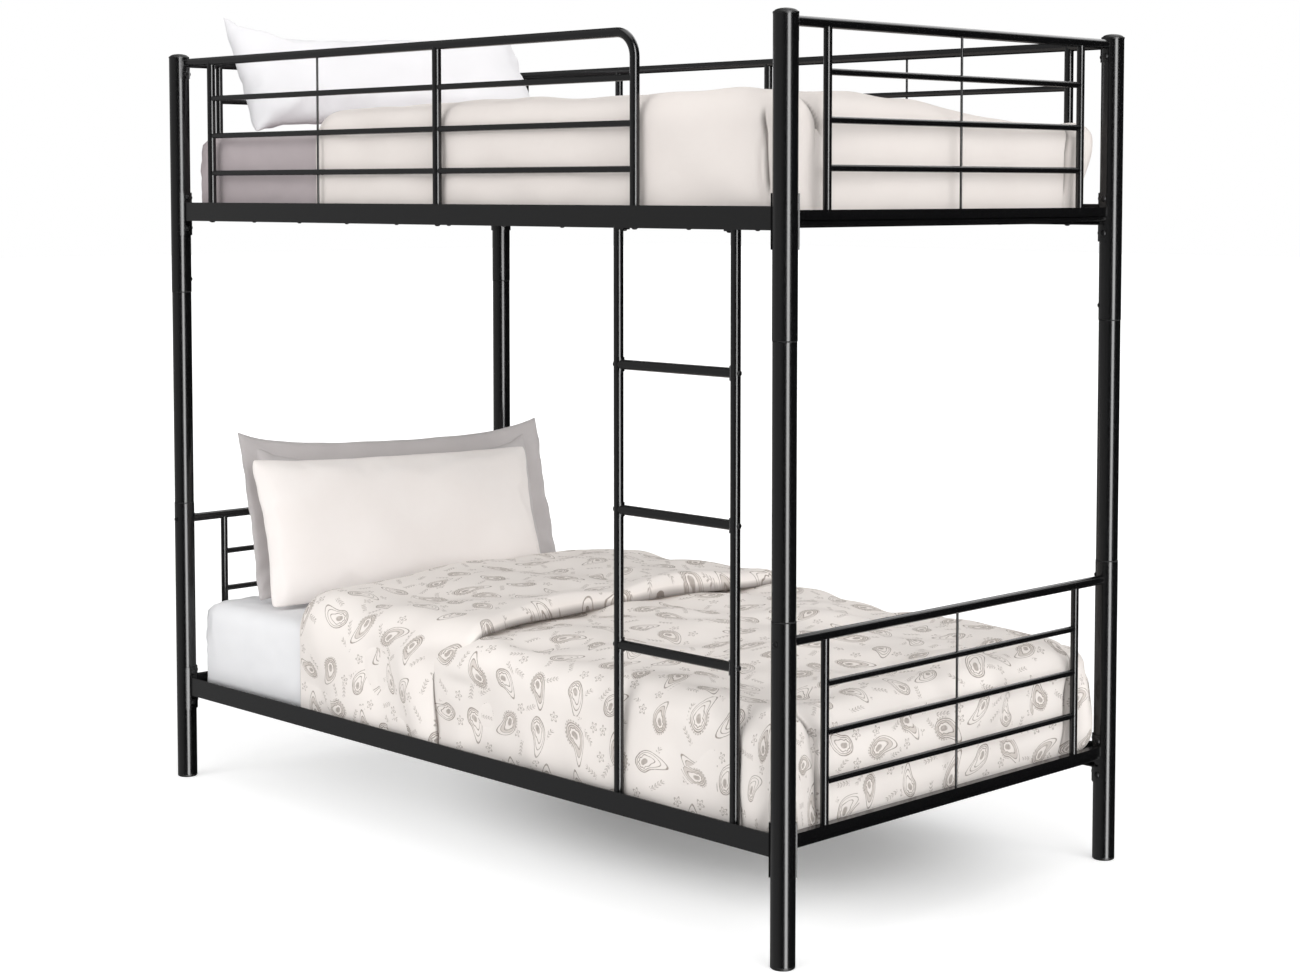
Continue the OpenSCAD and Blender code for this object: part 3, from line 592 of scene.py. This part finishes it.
def coverShell(name, deck, x0, look, shape):
    # lofty cover over a made mattress: its inner surface lies on the sheet, and the look shapes its outer one
    low, high = box[deck + "_mattress"]
    depth = high[2] - low[2] - bedding["hem"]
    clear, pitch, fine = bedding["clear"], bedding["pitch"], bedding["finePitch"]
    grids = [steps(high[0] - x0, pitch, fine, ends=(1,)), steps(2 * high[1], pitch, fine),
             steps(depth + 0.04, pitch * 0.9)]
    inner = slab(x0, high[0] + clear, high[1] + clear, high[2] + clear, depth, bedding["corner"],
                 bedding["sheetEdge"], grids, ("foot",))
    reach = look["skirt"]
    outer = slab(x0, high[0] + reach, high[1] + reach, high[2] + look["loft"], depth + look["loft"],
                 bedding["corner"] + reach, look["edge"], grids, ("foot",))
    u, v, drops = outer["spots"][:, 0], outer["spots"][:, 1], outer["drops"]
    height = drops.max() - drops
    body = rounded(u - x0, look["foldRound"]) * rounded(height + 0.002, look["hemRound"])
    gap = np.linalg.norm(outer["points"] - inner["points"], axis=1)
    # the relief neither sinks into the sheet below nor swells into the bars beside the cover
    farCorner = smoothStep(u, x0 + 0.9, x0 + 1.2) * (v > 0)
    spare = np.where(drops > look["edge"], look["spare"] + look["belly"] * farCorner, look["topSpare"])
    relief = np.clip(shape(outer["points"], u, v, drops), look["thinnest"] - gap, spare)
    raised = outer["points"] + outer["normals"] * relief[:, None]
    outerPoints = inner["points"] + (raised - inner["points"]) * body[:, None]
    made = shell(name, outerPoints, inner["points"], outer["spots"], outer["faces"])
    held = np.concatenate([1 - 0.92 * smoothStep(u - x0, 0.01, 0.05) * smoothStep(height, 0.005, 0.04),
                           np.ones(len(u))])
    settle(made, look["pressure"], look["cap"], held, look["grow"])
    refine(made)
    return made


def paintFoldShade(made, values):
    # a value on the points that the cloth finishes darken by, painting shade inside a narrow fold
    layer = made.data.attributes.get("foldShade") or made.data.attributes.new("foldShade", "FLOAT", "POINT")
    before = np.zeros(len(values), dtype=np.float32)
    layer.data.foreach_get("value", before)
    layer.data.foreach_set("value", np.maximum(before, values).astype(np.float32))


def pressCrease(made, axis, side, line, depth, width):
    # presses one narrow crease into a hanging side; the line gives its place along the side for some heights
    points = pointsOf(made)
    normals = np.empty(len(points) * 3)
    made.data.vertices.foreach_get("normal", normals)
    outward = normals.reshape(-1, 3)[:, axis] * side > 0.25
    heights, places = zip(*sorted(line))
    place = np.interp(points[:, 2], heights, places)
    inside = smoothStep(points[:, 2], heights[0] - 0.01, heights[0] + 0.02)
    inside = inside * smoothStep(points[:, 2], heights[-1] + 0.01, heights[-1] - 0.02)
    away = np.abs(points[:, 1 - axis] - place) / width
    # narrow groove between two low swells
    groove = np.exp(-away ** 2) - 0.22 * np.exp(-(away / 4) ** 2)
    points[:, axis] -= side * depth * groove * inside * outward
    setPoints(made, points)
    # painted shade down the bottom of the pressed crease
    paintFoldShade(made, np.exp(-(away / 0.9) ** 2) * inside * outward)


def pressTucks(made, look):
    # one crease down each long side and one down the foot beside each foot corner
    for side in (-1, 1):
        pressCrease(made, 1, side, *look["longCrease"])
        line, depth, width = look["footCrease"]
        pressCrease(made, 0, 1, [(height, side * place) for height, place in line], depth, width)


def onTop(drops):
    # 1 on the top of a cover, falling to 0 over its edge
    return smoothStep(drops, 0.06, 0.0)


def farBelly(x, v, drops, foot, look):
    # the far side swells out beside its foot corner
    belly = smoothStep(v, 0.36, 0.47) * smoothStep(x, foot - 0.30, foot - 0.06) * smoothStep(drops, 0.0, 0.03)
    return look["belly"] * belly * smoothStep(drops, *look["bellyDrop"])


def cornerTucks(x, y, drops, foot, sway, look):
    # depth of the pleats beside each foot corner: one down the long side, and one down the foot
    along = x - (foot - look["tuckX"]) - sway
    longSide = smoothStep(np.abs(y), 0.41, 0.45) * smoothStep(drops, *look["tuckFrom"])
    puffPlace, puffWidth = look["puffBeside"]
    pleat = np.exp(-(along / look["tuckWidth"]) ** 2)
    pleat = pleat - look["puff"] * np.exp(-((along - puffPlace) / puffWidth) ** 2)
    across = np.abs(y) - look["tuckY"] - 0.03 * smoothStep(drops, 0.09, 0.0)
    footSide = smoothStep(x, foot - 0.02, foot - 0.008) * smoothStep(drops, 0.02, 0.05)
    second = np.exp(-(across / look["tuckWidth"]) ** 2)
    second = second - look["puff"] * np.exp(-((across - 0.035) / 0.03) ** 2)
    return look["tuckDepth"] * (pleat * longSide + second * footSide)


comforterLook = {
    "loft": 0.060, "skirt": 0.0120, "edge": 0.055, "foldRound": 0.045, "hemRound": 0.020,
    "spare": 0.0015, "topSpare": 0.02, "thinnest": 0.0025,
    "farSlump": 0.062, "belly": 0.022, "bellyDrop": (0.18, 0.08),
    "pressure": 0.2, "cap": 0.004, "grow": 0.010,
    "tuckX": 0.048, "tuckY": 0.373, "tuckDepth": 0.008, "tuckWidth": 0.0045, "tuckFrom": (0.045, 0.075),
    "puff": 0.25, "puffBeside": (-0.05, 0.035),
    # height and place of points down the crease, then its depth and width
    "longCrease": ([(1.54, 0.890), (1.50, 0.892), (1.46, 0.895), (1.39, 0.899)], 0.0065, 0.0034),
    "footCrease": ([(1.56, 0.400), (1.52, 0.378), (1.47, 0.370), (1.39, 0.369)], 0.0065, 0.0036),
}


def comforterShape(points, u, v, drops):
    x, y, _ = points.T
    look = comforterLook
    foot = box["comforter"][1][0]
    loft = 0.0026 * cosField(u, v, 0.42, 11) + 0.0016 * cosField(u, v, 0.16, 12)
    loft = loft * (1 - 0.7 * smoothStep(y, -0.15, 0.15))
    slope = look["farSlump"] * np.clip((y + 0.24) / 0.70, 0, 1) * smoothStep(x, foot - 1.2, foot - 0.1)
    loft = loft - slope * onTop(drops)
    loft = loft + farBelly(x, v, drops, foot, look)
    sway = 0.008 * np.sin(drops * 30.0 + 0.6) + 0.05 * (drops - 0.1)
    return loft - cornerTucks(x, y, drops, foot, sway, look)


made = coverShell("creamComforter", "upper", box["comforter"][0][0], comforterLook, comforterShape)
pressTucks(made, comforterLook)
wear(made, "cream_cotton")
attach(made, "root")
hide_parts("comforter")
print("comforter made")

duvetLook = {
    "loft": 0.050, "skirt": 0.0120, "edge": 0.060, "foldRound": 0.040, "hemRound": 0.020,
    "spare": 0.006, "topSpare": 0.02, "thinnest": 0.0025, "crown": 0.011,
    "footSlump": 0.016, "belly": 0.031, "bellyDrop": (0.26, 0.16),
    "pressure": 0.2, "cap": 0.005, "grow": 0.012,
    "tuckX": 0.100, "tuckY": 0.380, "tuckDepth": 0.009, "tuckWidth": 0.0045, "tuckFrom": (0.03, 0.06),
    "puff": 0.35, "puffBeside": (0.035, 0.03),
    "longCrease": ([(0.44, 0.812), (0.40, 0.833), (0.34, 0.841), (0.24, 0.842)], 0.0070, 0.0036),
    "footCrease": ([(0.44, 0.405), (0.39, 0.382), (0.24, 0.376)], 0.0060, 0.0034),
    # the folded cuff: how far along the bed it ends, its thickness, the sweep of its free edge, and the width
    # of the painted shadow along that edge
    "cuffEnd": 0.967, "cuffHem": 0.014, "cuffThick": 0.029, "cuffSide": 0.008, "cuffRound": 0.020,
    "cuffClear": 0.004, "cuffBite": 0.001, "cuffLift": 0.05, "cuffPrint": (0.37, 0.21, 0.0),
    "sweep": 0.075, "farReach": 0.075, "nearReach": 0.035, "edgeShade": 0.0008,
}


def duvetShape(points, u, v, drops):
    x, y, _ = points.T
    look = duvetLook
    foot = box["duvet"][1][0]
    loft = 0.0045 * cosField(u, v, 0.33, 21) + 0.003 * cosField(u, v, 0.13, 22, stretch=1.6, turn=0.9)
    loft = loft - look["footSlump"] * smoothStep(x, foot - 0.8, foot - 0.1) * onTop(drops)
    loft = loft + look["crown"] * smoothStep(y, -0.25, 0.20) * onTop(drops)
    loft = loft + farBelly(x, v, drops, foot, look)
    # slack that hangs in soft upright folds
    folds = 0.0022 * np.sin(u * 31.0 + 0.9 * np.sin(u * 11.0)) + 0.0015 * np.sin(u * 57.0 + v * 3.0)
    loft = loft + smoothStep(drops, 0.02, 0.14) * folds
    sway = 0.006 * np.sin(drops * 24.0) - 0.03 * smoothStep(drops, 0.09, 0.02)
    return loft - cornerTucks(x, y, drops, foot, sway, look)


made = coverShell("paisleyDuvet", "lower", box["duvet"][0][0], duvetLook, duvetShape)
pressTucks(made, duvetLook)


def cuffShell(name, x0, x1, look):
    # the duvet's head end folded back over itself, with a thick rounded free edge
    low, high = box["lower_mattress"]
    depth = high[2] - low[2] - look["cuffHem"]
    pitch = bedding["pitch"]
    along = steps(x1 - x0, pitch, 0.008, 0.06, (1,))
    # two close rows at the free edge, for the narrow painted shadow under it
    along = np.insert(along, -1, [1 - 0.003 / (x1 - x0), 1 - 0.0005 / (x1 - x0)])
    grids = [along, steps(2 * high[1], pitch), steps(depth + 0.04, pitch)]
    reach = look["skirt"]
    inner = slab(x0, x1, high[1] + reach - look["cuffBite"], high[2] + look["loft"] + look["cuffClear"],
                 depth + look["loft"], bedding["corner"], look["edge"], grids, ())
    reach += look["cuffSide"]
    outer = slab(x0, x1, high[1] + reach, high[2] + look["loft"] + look["cuffThick"],
                 depth + look["loft"] + look["cuffThick"], bedding["corner"], look["edge"] + 0.01, grids, ())
    u, v, drops = outer["spots"][:, 0], outer["spots"][:, 1], outer["drops"]
    height = drops.max() - drops
    # the free edge runs in a slow wave, back where it hangs down and forward on the far side
    hang = -look["sweep"] * smoothStep(drops, 0.0, 0.085) + 0.014 * smoothStep(drops, 0.1, 0.25)
    wave = 0.006 * np.sin(v * 9.0 + 0.8) + 0.003 * np.sin(v * 23.0)
    lead = look["farReach"] * smoothStep(v, 0.02, 0.45)
    lead = lead + look["nearReach"] * smoothStep(-v, 0.25, 0.44) * smoothStep(drops, 0.085, 0.0)
    shift = (hang + wave + lead) * smoothStep(u, x1 - 0.35, x1)
    crown = look["crown"] * smoothStep(v, -0.25, 0.20) * onTop(drops)
    loft = 0.005 * cosField(u, v, 0.30, 31) + 0.003 * cosField(u, v, 0.11, 32, stretch=2.0, turn=1.3)
    loft = loft + 0.004 * smoothStep(u, x1 - 0.12, x1 - 0.03) * smoothStep(drops, 0.1, 0.02)
    # a little fuller over the middle of the bed
    loft = loft + 0.010 * np.cos(np.clip(v / 0.46, -1, 1) * math.pi / 2) * smoothStep(drops, 0.05, 0.0)
    raised = outer["points"] + outer["normals"] * (loft + crown)[:, None]
    inner["points"] = inner["points"] + outer["normals"] * crown[:, None]
    free = rounded(x1 - u, look["cuffRound"]) * rounded(u - x0, 0.05)
    body = free * rounded(height + 0.002, look["hemRound"])
    lifted = (raised - inner["points"]) * look["cuffLift"]
    under = inner["points"] + lifted * (1 - rounded(x1 - u, 0.03))[:, None]
    outerPoints = under + (raised - under) * body[:, None]
    outerPoints[:, 0] += shift
    under[:, 0] += shift
    made = shell(name, outerPoints, under, outer["spots"] + np.array(look["cuffPrint"]), outer["faces"])
    # painted shadow: a thin dark line along the cuff's free edge, on both its surfaces
    edgeShade = np.exp(-((x1 - u) / look["edgeShade"]) ** 2)
    paintFoldShade(made, np.concatenate([edgeShade, edgeShade]))
    held = np.concatenate([1 - 0.9 * smoothStep(u - x0, 0.01, 0.05) * smoothStep(height, 0.005, 0.04)
                           * smoothStep(x1 - u, 0.004, 0.04), np.ones(len(u))])
    settle(made, look["pressure"], look["cap"], held, look["grow"])
    refine(made)
    return made


cuffEnd = box["lower_mattress"][0][0] + duvetLook["cuffEnd"]
cuff = cuffShell("duvetCuff", box["duvet"][0][0], cuffEnd, duvetLook)
bpy.ops.object.select_all(action="DESELECT")
for piece in (cuff, made):
    piece.select_set(True)
bpy.context.view_layer.objects.active = made
bpy.ops.object.join()
wear(made, "printed_cotton")
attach(made, "root")
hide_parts("duvet")
print("duvet made, top at", round(float(pointsOf(made)[:, 2].max()), 4))

# lean and turn of each pillow in degrees; of its size, x is the thickness, y the width and z the height
pillowLooks = {
    "upperPillow": {
        # white cotton, worn in the darker copy that paints shade on it
        "node": "upper_pillow", "slot": "white_cotton", "cloth": "shaded_pillow_cotton", "seed": 41,
        "lean": 38, "turn": -13, "size": (0.120, 0.762, 0.355), "shift": (-0.004, -0.006, 0.0), "flange": 0.0,
        "pucker": 0.0030, "slack": 0.020, "waist": 0.20, "sideWaist": 0.012, "blunt": 0.010,
        "sag": ([-1, -0.85, -0.6, -0.3, 0, 0.5, 1], [0, 0.07, 0.13, 0.13, 0.10, 0.06, 0.045])},
    "ivoryPillow": {
        "node": "white_pillow", "slot": "ivory_cotton", "seed": 42,
        "lean": 22, "turn": -15, "size": (0.096, 0.718, 0.366), "shift": (-0.002, -0.016, -0.006),
        "flange": 0.0, "pucker": 0.0018, "slack": 0.012, "waist": 0.045, "sideWaist": 0.045, "blunt": 0.048},
    "greySham": {
        "node": "grey_sham", "slot": "sham_cotton", "seed": 43,
        "lean": 20, "turn": -15, "size": (0.076, 0.800, 0.420), "shift": (0.0, 0.003, 0.0), "flange": 0.040,
        "pucker": 0.0030, "slack": 0.014, "waist": 0.19, "sideWaist": 0.012, "blunt": 0.0},
}
pillowForm = {"pitch": 0.011, "pressure": 1.6, "cap": 0.012, "stiff": 10.0, "bending": 0.2, "pressed": 0.02}
flangeForm = {"rows": 4, "around": 176, "under": 0.014, "wave": 0.006, "halfThick": 0.0013}


def pillow(name, look):
    # two layers of cloth sewn together round their rim, stuffed, and then shaped by air pressure
    thick, wide, tall = look["size"]
    wide, tall = wide - 2 * look["flange"], tall - 2 * look["flange"]
    ny, nz = round(wide / pillowForm["pitch"]), round(tall / pillowForm["pitch"])
    ps, qs = np.linspace(-1, 1, ny + 1), np.linspace(-1, 1, nz + 1)
    p, q = (grid.ravel() for grid in np.meshgrid(ps, qs, indexing="ij"))
    rim = (np.abs(p) > 0.9999) | (np.abs(q) > 0.9999)
    plump = np.clip(1 - np.abs(p) ** 5, 0, 1) ** 0.55 * np.clip(1 - np.abs(q) ** 2.6, 0, 1) ** 0.62
    # the corners are blunt, and the long and short edges draw in a little between them
    blunt = 1 - look["blunt"] * np.abs(p * q) ** 8
    y = p * wide / 2 * (blunt - look["sideWaist"] * (1 - q ** 2) * np.abs(p) ** 3)
    z = q * tall / 2 * (blunt - look["waist"] * (1 - np.abs(p) ** 3.6) * np.abs(q) ** 3)
    if "sag" in look:
        # the upper edge sinks away from the corner that stands against the panel
        z = z - tall * np.interp(p, *look["sag"]) * np.clip(q, 0, 1) ** 2
    fromRim = np.minimum((1 - np.abs(p)) * wide / 2, (1 - np.abs(q)) * tall / 2)
    pucker = look["pucker"] * cosField(y, z, 0.05, look["seed"], 20) * np.exp(-fromRim / 0.035)
    dents = 0.003 * cosField(y, z, 0.16, look["seed"] + 5) * plump
    front = np.stack([thick / 2 * plump + pucker + dents, y, z], 1)
    back = np.stack([-thick / 2 * plump + pucker, y, z], 1)[~rim]
    number = {1: np.arange(len(p)), -1: np.arange(len(p))}
    number[-1][~rim] = len(p) + np.arange(len(back))
    faces = []
    for layer, ids in number.items():
        ids = ids.reshape(ny + 1, nz + 1)
        for j in range(ny):
            for k in range(nz):
                face = (ids[j, k], ids[j + 1, k], ids[j + 1, k + 1], ids[j, k + 1])
                faces.append(tuple(int(v) for v in (face if layer > 0 else face[::-1])))
    points = np.concatenate([front, back])
    flat = np.stack([y, z, np.zeros_like(y)], 1)
    made = meshFrom(name, points, faces, np.concatenate([flat, flat[~rim] + np.array([1.3, 0.0, 0.0])]))
    settle(made, pillowForm["pressure"], pillowForm["cap"], None, look["slack"], pillowForm["stiff"],
           pillowForm["bending"])
    refine(made)
    points = pointsOf(made)
    size, middle = points.max(0) - points.min(0), (points.max(0) + points.min(0)) / 2
    setPoints(made, (points - middle) * (np.array([thick, wide, tall]) / size))
    return made


def addFlange(made, look):
    # flat border of doubled cloth sewn round the stuffed middle, drawn out into ears at the corners
    _, wide, tall = look["size"]
    reach, count, rows = look["flange"], flangeForm["around"], flangeForm["rows"]
    halfY, halfZ = wide / 2 - reach, tall / 2 - reach
    points = pointsOf(made)
    t = 4 * np.arange(count) / count
    side, f = t.astype(int), 2 * (t % 1) - 1
    outline = np.stack([np.choose(side, [f, np.ones(count), -f, -np.ones(count)]),
                        np.choose(side, [-np.ones(count), f, np.ones(count), -f])], 1)
    seam = np.empty((count, 3))
    for k, (p, q) in enumerate(outline):
        drop = 1 - look["waist"] * (1 - abs(p) ** 3.6)
        gap = np.hypot(points[:, 1] - p * halfY, points[:, 2] - q * halfZ * drop) + 0.4 * np.abs(points[:, 0])
        seam[k] = points[gap.argmin()]
    eased = np.mean([np.roll(seam, s, 0) for s in range(-3, 4)], 0)
    cornerness = (np.abs(outline[:, 0] * outline[:, 1]) ** 8)[:, None]
    seam = eased * (1 - cornerness) + seam * cornerness
    s = np.arange(count) * 2 * math.pi / count
    wave = 0.5 * np.sin(9 * s + 1.0) + 0.35 * np.sin(17 * s + 2.0) + 0.3 * np.sin(31 * s)
    drawn = np.stack([look["sideWaist"] * (1 - outline[:, 1] ** 2),
                      look["waist"] * (1 - np.abs(outline[:, 0]) ** 3.6)], 1)
    target = outline * np.array([wide / 2, tall / 2]) * (1 - drawn)
    gathered = 1 + 1.2 * smoothStep(-outline[:, 1], 0.6, 1.0) * np.abs(outline[:, 0]) ** 6
    rings, spots = [], []
    for r in range(rows + 1):
        f = r / rows
        y = (seam[:, 1] - flangeForm["under"] * outline[:, 0]) * (1 - f) + target[:, 0] * f
        z = (seam[:, 2] - flangeForm["under"] * outline[:, 1]) * (1 - f) + target[:, 1] * f
        x = seam[:, 0] * (1 - f) + flangeForm["wave"] * wave * gathered * f
        rings.append(np.stack([x, y, z], 1))
        spots.append(np.stack([y, z, np.zeros(count)], 1))
    rings, spots = np.concatenate(rings), np.concatenate(spots)
    grid = np.arange((rows + 1) * count).reshape(rows + 1, count)
    faces = [(grid[r, k], grid[r + 1, k], grid[r + 1, (k + 1) % count], grid[r, (k + 1) % count])
             for r in range(rows) for k in range(count)]
    offset = np.array([flangeForm["halfThick"], 0.0, 0.0])
    flange = shell("flange", rings + offset, rings - offset, spots, faces)
    bpy.ops.object.select_all(action="DESELECT")
    for piece in (flange, made):
        piece.select_set(True)
    bpy.context.view_layer.objects.active = made
    bpy.ops.object.join()


for name, look in pillowLooks.items():
    made = pillow(name, look)
    if look["flange"]:
        addFlange(made, look)
    low, high = box[look["node"]]
    middle = (np.array(low) + np.array(high)) / 2
    turn = Matrix.Rotation(math.radians(look["turn"]), 4, "Z")
    lean = turn @ Matrix.Rotation(math.radians(-look["lean"]), 4, "Y")
    points = pointsOf(made) @ np.array(lean.to_3x3()).T + middle + np.array(look["shift"])
    deck = "upper" if look["node"].startswith("upper") else "lower"
    # the lower edge is pressed flat on the bed
    rest, pressed = box[deck + "_mattress"][1][2] + bedding["clear"], pillowForm["pressed"]
    z = points[:, 2]
    points[:, 2] = np.where(z < rest + pressed, rest + pressed * np.exp((z - rest - pressed) / pressed), z)
    setPoints(made, points)
    wear(made, look["slot"], look.get("cloth"))
    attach(made, "root")
    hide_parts(look["node"])
print("pillows made")

studio = {
    # the floor is darkest in a core under the bed, where its glow for the camera is low as a painted shadow,
    # and glows a little round it
    "floorColour": (0.80, 0.80, 0.80, 1.0), "floorRough": 0.9,
    "paintedShadowGlow": (0.12, 0.12, 0.12, 1.0), "floorGlow": (0.47, 0.47, 0.47, 1.0),
    "core": (-0.28, -0.1, 0.0), "coreReach": (0.9, 1.6, 1.0), "coreEdge": (0.25, 0.85),
    # strength, direction towards the light and angle of each sun
    "suns": {"keySun": (0.97, (-0.2, -2.6, 1.5), 46.0), "sideSun": (1.62, (3.0, -0.4, 1.25), 60.0)},
    "ambient": 0.64,
    # soft boxes that only reflections see: direction, edge and strength
    "left": (-0.6975, -0.7166, 0.0), "leftEdge": (0.0, 0.9), "leftGlow": 0.40,
    "topEdge": (0.82, 0.97), "topGlow": 2.2,
    "strip": (0.958, -0.287, 0.0), "stripEdge": (0.965, 0.990), "stripEnds": (0.55, 0.8), "stripGlow": 11.0,
    "back": (-0.152, 0.761, 0.631), "backEdge": (0.86, 0.98), "backGlow": 2.6, "rest": 0.02,
}

for name, (strength, place, spread) in studio["suns"].items():
    data = bpy.data.lights.new(name, "SUN")
    data.energy, data.angle = strength, math.radians(spread)
    sun = bpy.data.objects.new(name, data)
    bpy.context.scene.collection.objects.link(sun)
    sun.rotation_euler = Vector(place).to_track_quat("Z", "Y").to_euler()
    sun.visible_glossy = False

floorMesh = bpy.data.meshes.new("floor")
floorMesh.from_pydata([(-40, -40, 0), (40, -40, 0), (40, 40, 0), (-40, 40, 0)], [], [(0, 1, 2, 3)])
floor = bpy.data.objects.new("studioFloor", floorMesh)
bpy.context.scene.collection.objects.link(floor)
s = Shader("paleFloorWithPaintedShadow")
seen = s.node("ShaderNodeLightPath", {}, {}, "Is Camera Ray")
# painted shadow: the floor's glow for the camera falls to a low level in a core under the bed
fromCore = s.vector("MULTIPLY", s.vector("ADD", s.place(), studio["core"]), studio["coreReach"])
outside = s.vector("LENGTH", fromCore).smooth(*studio["coreEdge"])
floorGlow = s.mix(outside, studio["paintedShadowGlow"], studio["floorGlow"])
floorMesh.materials.append(s.surface({
    "Base Color": studio["floorColour"], "Roughness": studio["floorRough"], "Specular IOR Level": 0.0,
    "Emission Color": s.mix(seen, (0.0, 0.0, 0.0, 1.0), floorGlow), "Emission Strength": 1.0}))
floor.visible_glossy = False

world = bpy.data.worlds.new("studio")
bpy.context.scene.world = world
world.use_nodes = True


class WorldShader(Shader):
    def __init__(self, tree):
        self.tree = tree
        self.tree.nodes.clear()
        self.output = tree.nodes.new("ShaderNodeOutputWorld")


w = WorldShader(world.node_tree)
seen = w.node("ShaderNodeLightPath", {}, {}, "Is Camera Ray")
glossy = w.twin(seen, "Is Glossy Ray")
direction = w.node("ShaderNodeTexCoord", {}, {}, "Generated")
level = w.vector("NORMALIZE", w.vector("MULTIPLY", direction, (1.0, 1.0, 0.0)))
up = w.parts(direction)[2]
left = w.vector("DOT_PRODUCT", direction, studio["left"])
strip = w.vector("DOT_PRODUCT", level, studio["strip"]).smooth(*studio["stripEdge"])
strip = strip * up.fn("ABSOLUTE").smooth(*studio["stripEnds"], 1.0, 0.0)
back = w.vector("DOT_PRODUCT", direction, studio["back"]).smooth(*studio["backEdge"])
softBoxes = left.smooth(*studio["leftEdge"]) * studio["leftGlow"]
softBoxes = softBoxes + up.smooth(*studio["topEdge"]) * studio["topGlow"]
softBoxes = softBoxes + strip * studio["stripGlow"] + back * studio["backGlow"] + studio["rest"]
strength = seen + glossy * softBoxes + (1.0 - seen - glossy) * studio["ambient"]
glow = w.node("ShaderNodeBackground", {}, {"Color": (1.0, 1.0, 1.0, 1.0), "Strength": strength})
w.tree.links.new(glow.socket, w.output.inputs["Surface"])
print("studio lit")

# angles in radians, lens and sensor in millimetres
view = {"place": (3.74498, -3.52585, 1.39352), "turn": 0.80026, "dip": 0.06124, "lens": 64.426,
        "sensor": 36.0, "shift": -0.12, "far": 200.0}
cameraData = bpy.data.cameras.new("camera")
camera = bpy.data.objects.new("camera", cameraData)
bpy.context.scene.collection.objects.link(camera)
camera.location = view["place"]
camera.rotation_euler = (math.pi / 2 - view["dip"], 0.0, view["turn"])
cameraData.lens, cameraData.sensor_width = view["lens"], view["sensor"]
cameraData.shift_y, cameraData.clip_end = view["shift"], view["far"]
bpy.context.scene.camera = camera
bpy.context.scene.view_settings.view_transform = "Standard"

bpy.context.view_layer.update()
